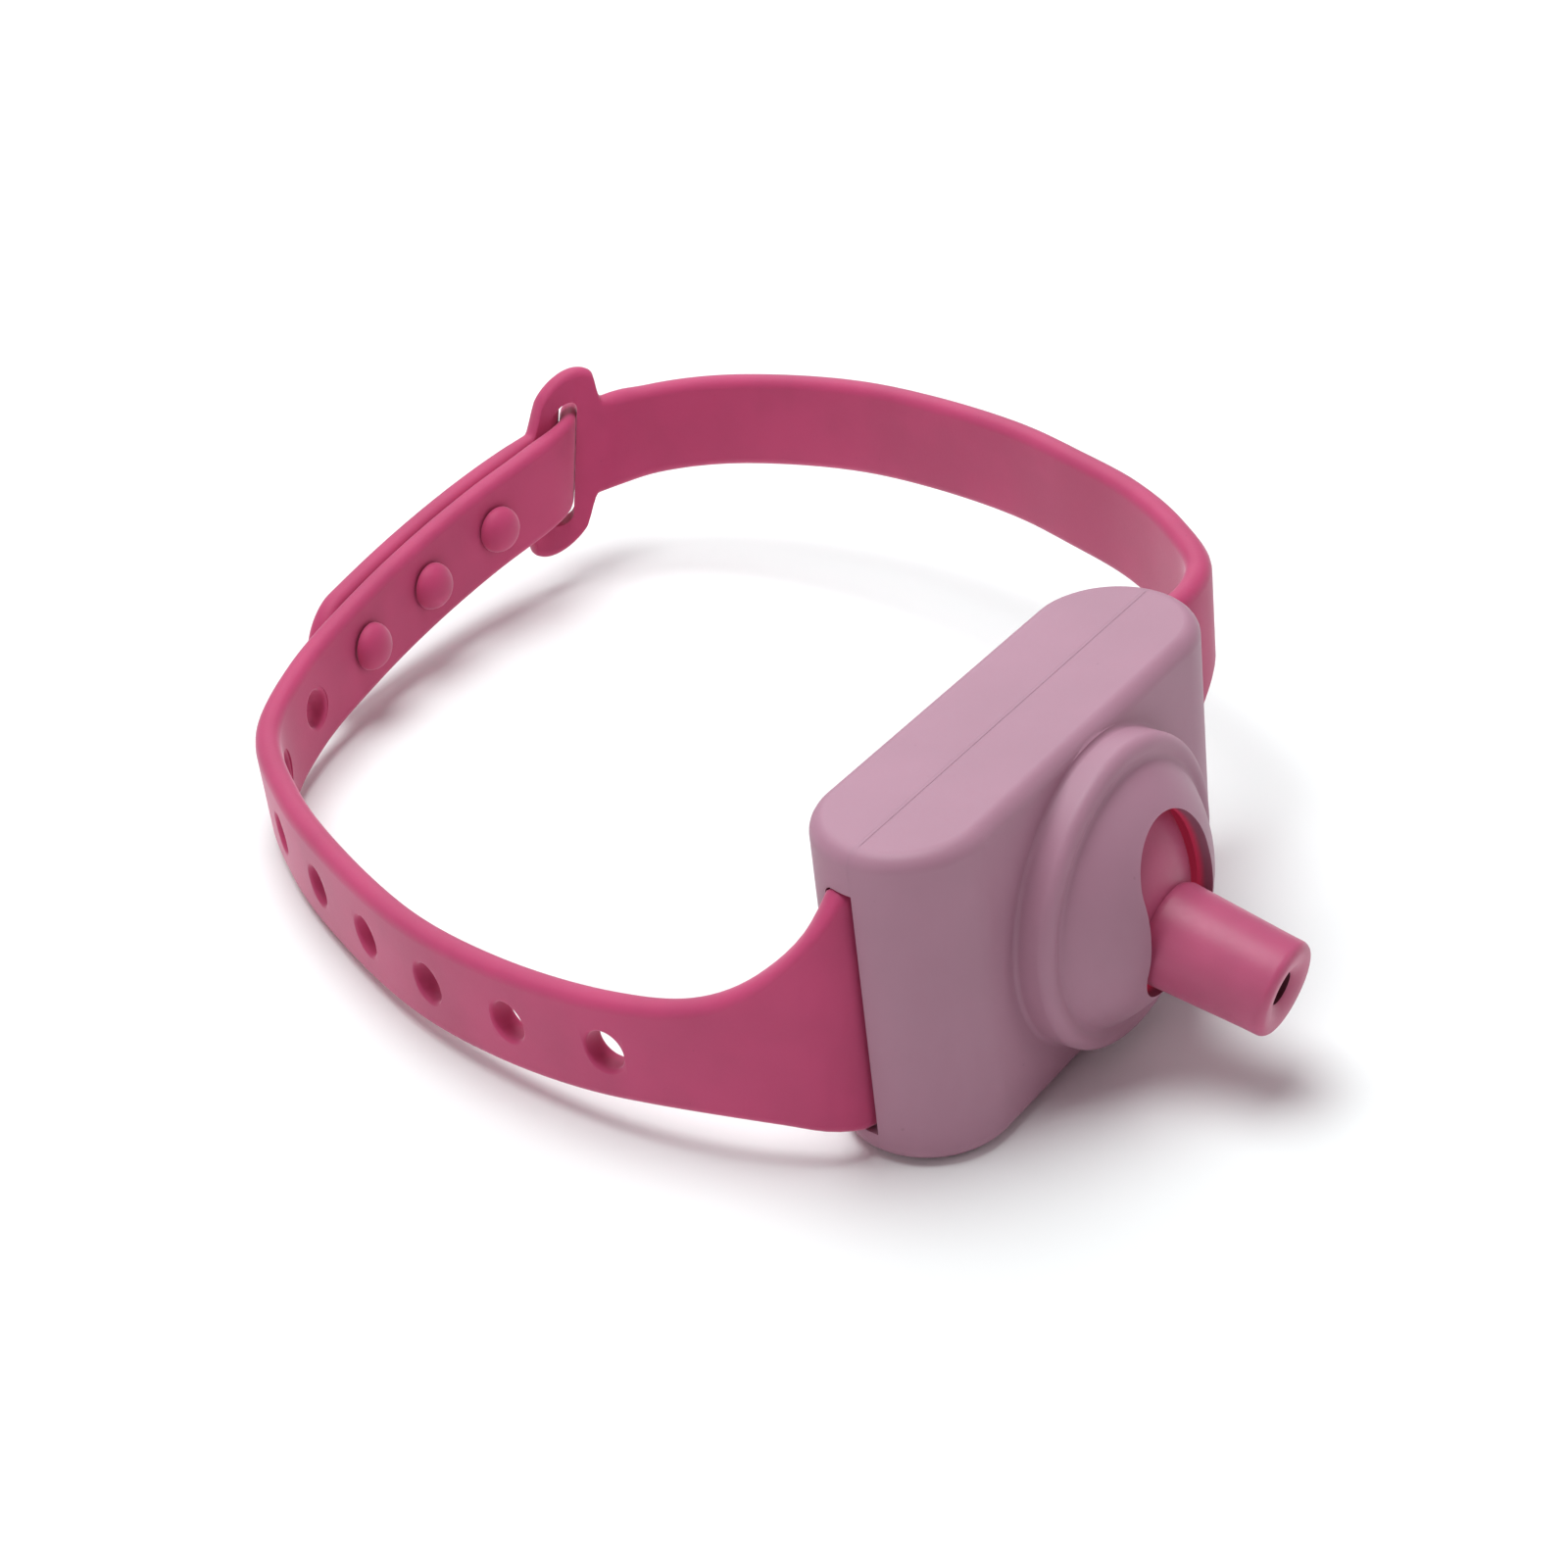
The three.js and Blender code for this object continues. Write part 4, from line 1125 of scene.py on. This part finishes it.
# ---------------------------------------------------------------- inside
class COLLAR_OT_inside(bpy.types.Operator):
    """Finishes of the laser, the sweep motor, the boards and the battery"""

    bl_idname = "collar.inside"
    bl_label = "Inner Finishes"

    def execute(self, context):
        mats = palette()
        dress(mats["brass"], "laser_barrel", "lens_retaining_ring", "laser_diode", "board_capacitor")
        dress(mats["steel"], "lens_spring", "motor_shaft", "motor_gearbox", "motor_can", "charging_port",
              "motor_clamp_screw_1", "motor_clamp_screw_2")
        dress(lens_glass("laser_lens_glass"), "laser_lens")
        dress(circuit_board("solder_mask", (0.02, 0.17, 0.06)), "main_board", "laser_driver_board")
        dress(moulded("chip_resin", (0.03, 0.03, 0.032), 0.55, 3500.0), "controller_chip", "charge_chip",
              "switch_body", "switch_plunger")
        dress(moulded("bracket_plastic", (0.80, 0.78, 0.75)), "motor_clamp", "motor_bracket",
              "pivot_bracket")
        dress(foil_cell("battery_foil", (0.60, 0.62, 0.66)), "battery_cell")
        dress(foam("pad_foam", (0.03, 0.03, 0.032)), "battery_pad")
        dress(moulded("wire_red", (0.50, 0.02, 0.02), 0.35), "battery_lead_red", "motor_lead_red",
              "laser_lead", "laser_pigtail")
        dress(moulded("wire_black", (0.02, 0.02, 0.02), 0.35), "battery_lead_black", "motor_lead_black")
        return {"FINISHED"}


# ---------------------------------------------------------------- stage
class COLLAR_OT_stage(bpy.types.Operator):
    """Pale floor, soft studio light and the camera"""

    bl_idname = "collar.stage"
    bl_label = "Stage"

    def floor(self, rgb):
        bpy.ops.mesh.primitive_plane_add(size=12, location=(0, 0, cad_low.z - 0.0003))
        ground = bpy.context.object
        ground.name = "studio_floor"
        r = Recipe("studio_floor")
        tone = r.noise(3.0)
        ground.data.materials.append(
            r.finish(Base_Color=r.mix(tone, shade(rgb, 0.995), shade(rgb, 1.0)), Roughness=0.9)
        )

    def lamp(self, name, place, size, power, aim, tint=(1.0, 1.0, 1.0)):
        bpy.ops.object.light_add(type="AREA", location=place)
        lamp = bpy.context.object
        lamp.name = name
        lamp.data.shape = "DISK"
        lamp.data.size = size
        lamp.data.energy = power
        lamp.data.color = tint
        lamp.rotation_euler = (Vector(aim) - Vector(place)).to_track_quat("-Z", "Y").to_euler()

    def camera(self):
        azimuth, elevation, roll = (math.radians(a) for a in (-50.874, 31.651, -7.276))
        distance, target = 0.29924, Vector((0.012796, 0.0277, -0.00905))
        back = Vector((
            math.sin(azimuth) * math.cos(elevation),
            -math.cos(azimuth) * math.cos(elevation),
            math.sin(elevation),
        ))
        right = Vector((0, 0, 1)).cross(back).normalized()
        up = back.cross(right)
        level = Matrix((right, up, back)).transposed()
        turned = level @ Matrix.Rotation(roll, 3, "Z")
        bpy.ops.object.camera_add(location=target + back * distance, rotation=turned.to_euler())
        camera = bpy.context.object
        camera.name = "product_camera"
        camera.data.lens = 72.19
        camera.data.sensor_width = 36
        camera.data.clip_start = 0.01
        bpy.context.scene.camera = camera

    def execute(self, context):
        self.floor(context.scene.collar_colours.floor)
        self.lamp("overhead", (0.02, 0.14, 0.75), 0.6, 6.0, (0.0, 0.03, 0.0), (0.92, 1.0, 0.99))
        self.lamp("back_rim", (0.52, 0.46, 0.42), 0.5, 1.6, (0.0, 0.03, 0.0), (0.90, 1.0, 1.0))
        self.lamp("fill_left", (-0.65, 0.10, 0.35), 0.45, 0.5, (0.0, 0.02, 0.0))
        self.lamp("front_right", (0.35, -0.60, 0.40), 0.3, 0.5, (0.0, 0.0, 0.0))
        world = bpy.data.worlds.new("studio_world")
        world.use_nodes = True
        world.node_tree.nodes["Background"].inputs["Color"].default_value = (1.0, 0.88, 0.92, 1.0)
        world.node_tree.nodes["Background"].inputs["Strength"].default_value = 0.24
        context.scene.world = world
        context.scene.view_settings.view_transform = "Standard"
        self.camera()
        return {"FINISHED"}


OPERATORS = [
    COLLAR_OT_stage,
    COLLAR_OT_front_shell,
    COLLAR_OT_rear_shell,
    COLLAR_OT_nozzle,
    COLLAR_OT_hole_strap,
    COLLAR_OT_stud_strap,
    COLLAR_OT_small_parts,
    COLLAR_OT_inside,
]
GROUPS = {
    "collar_case": CollarCase,
    "collar_dome": CollarDome,
    "collar_nozzle": CollarNozzle,
    "collar_strap": CollarStrap,
    "collar_colours": CollarColours,
}


class COLLAR_PT_panel(bpy.types.Panel):
    """Sizes, colours and the pieces of the collar"""

    bl_label = "Pet Laser Collar"
    bl_idname = "COLLAR_PT_panel"
    bl_space_type = "VIEW_3D"
    bl_region_type = "UI"
    bl_category = "Collar"

    def draw(self, context):
        for group in GROUPS:
            settings = getattr(context.scene, group)
            box_layout = self.layout.box()
            for key in type(settings).__annotations__:
                box_layout.prop(settings, key)
        for operator in OPERATORS:
            self.layout.operator(operator.bl_idname)


def register():
    for group, kind in GROUPS.items():
        bpy.utils.register_class(kind)
        setattr(bpy.types.Scene, group, bpy.props.PointerProperty(type=kind))
    for kind in [*OPERATORS, COLLAR_PT_panel]:
        bpy.utils.register_class(kind)


def unregister():
    for kind in [COLLAR_PT_panel, *reversed(OPERATORS)]:
        bpy.utils.unregister_class(kind)
    for group, kind in GROUPS.items():
        delattr(bpy.types.Scene, group)
        bpy.utils.unregister_class(kind)


def main():
    register()
    for operator in OPERATORS:
        area, action = operator.bl_idname.split(".")
        getattr(getattr(bpy.ops, area), action)()


if __name__ == "__main__":
    main()
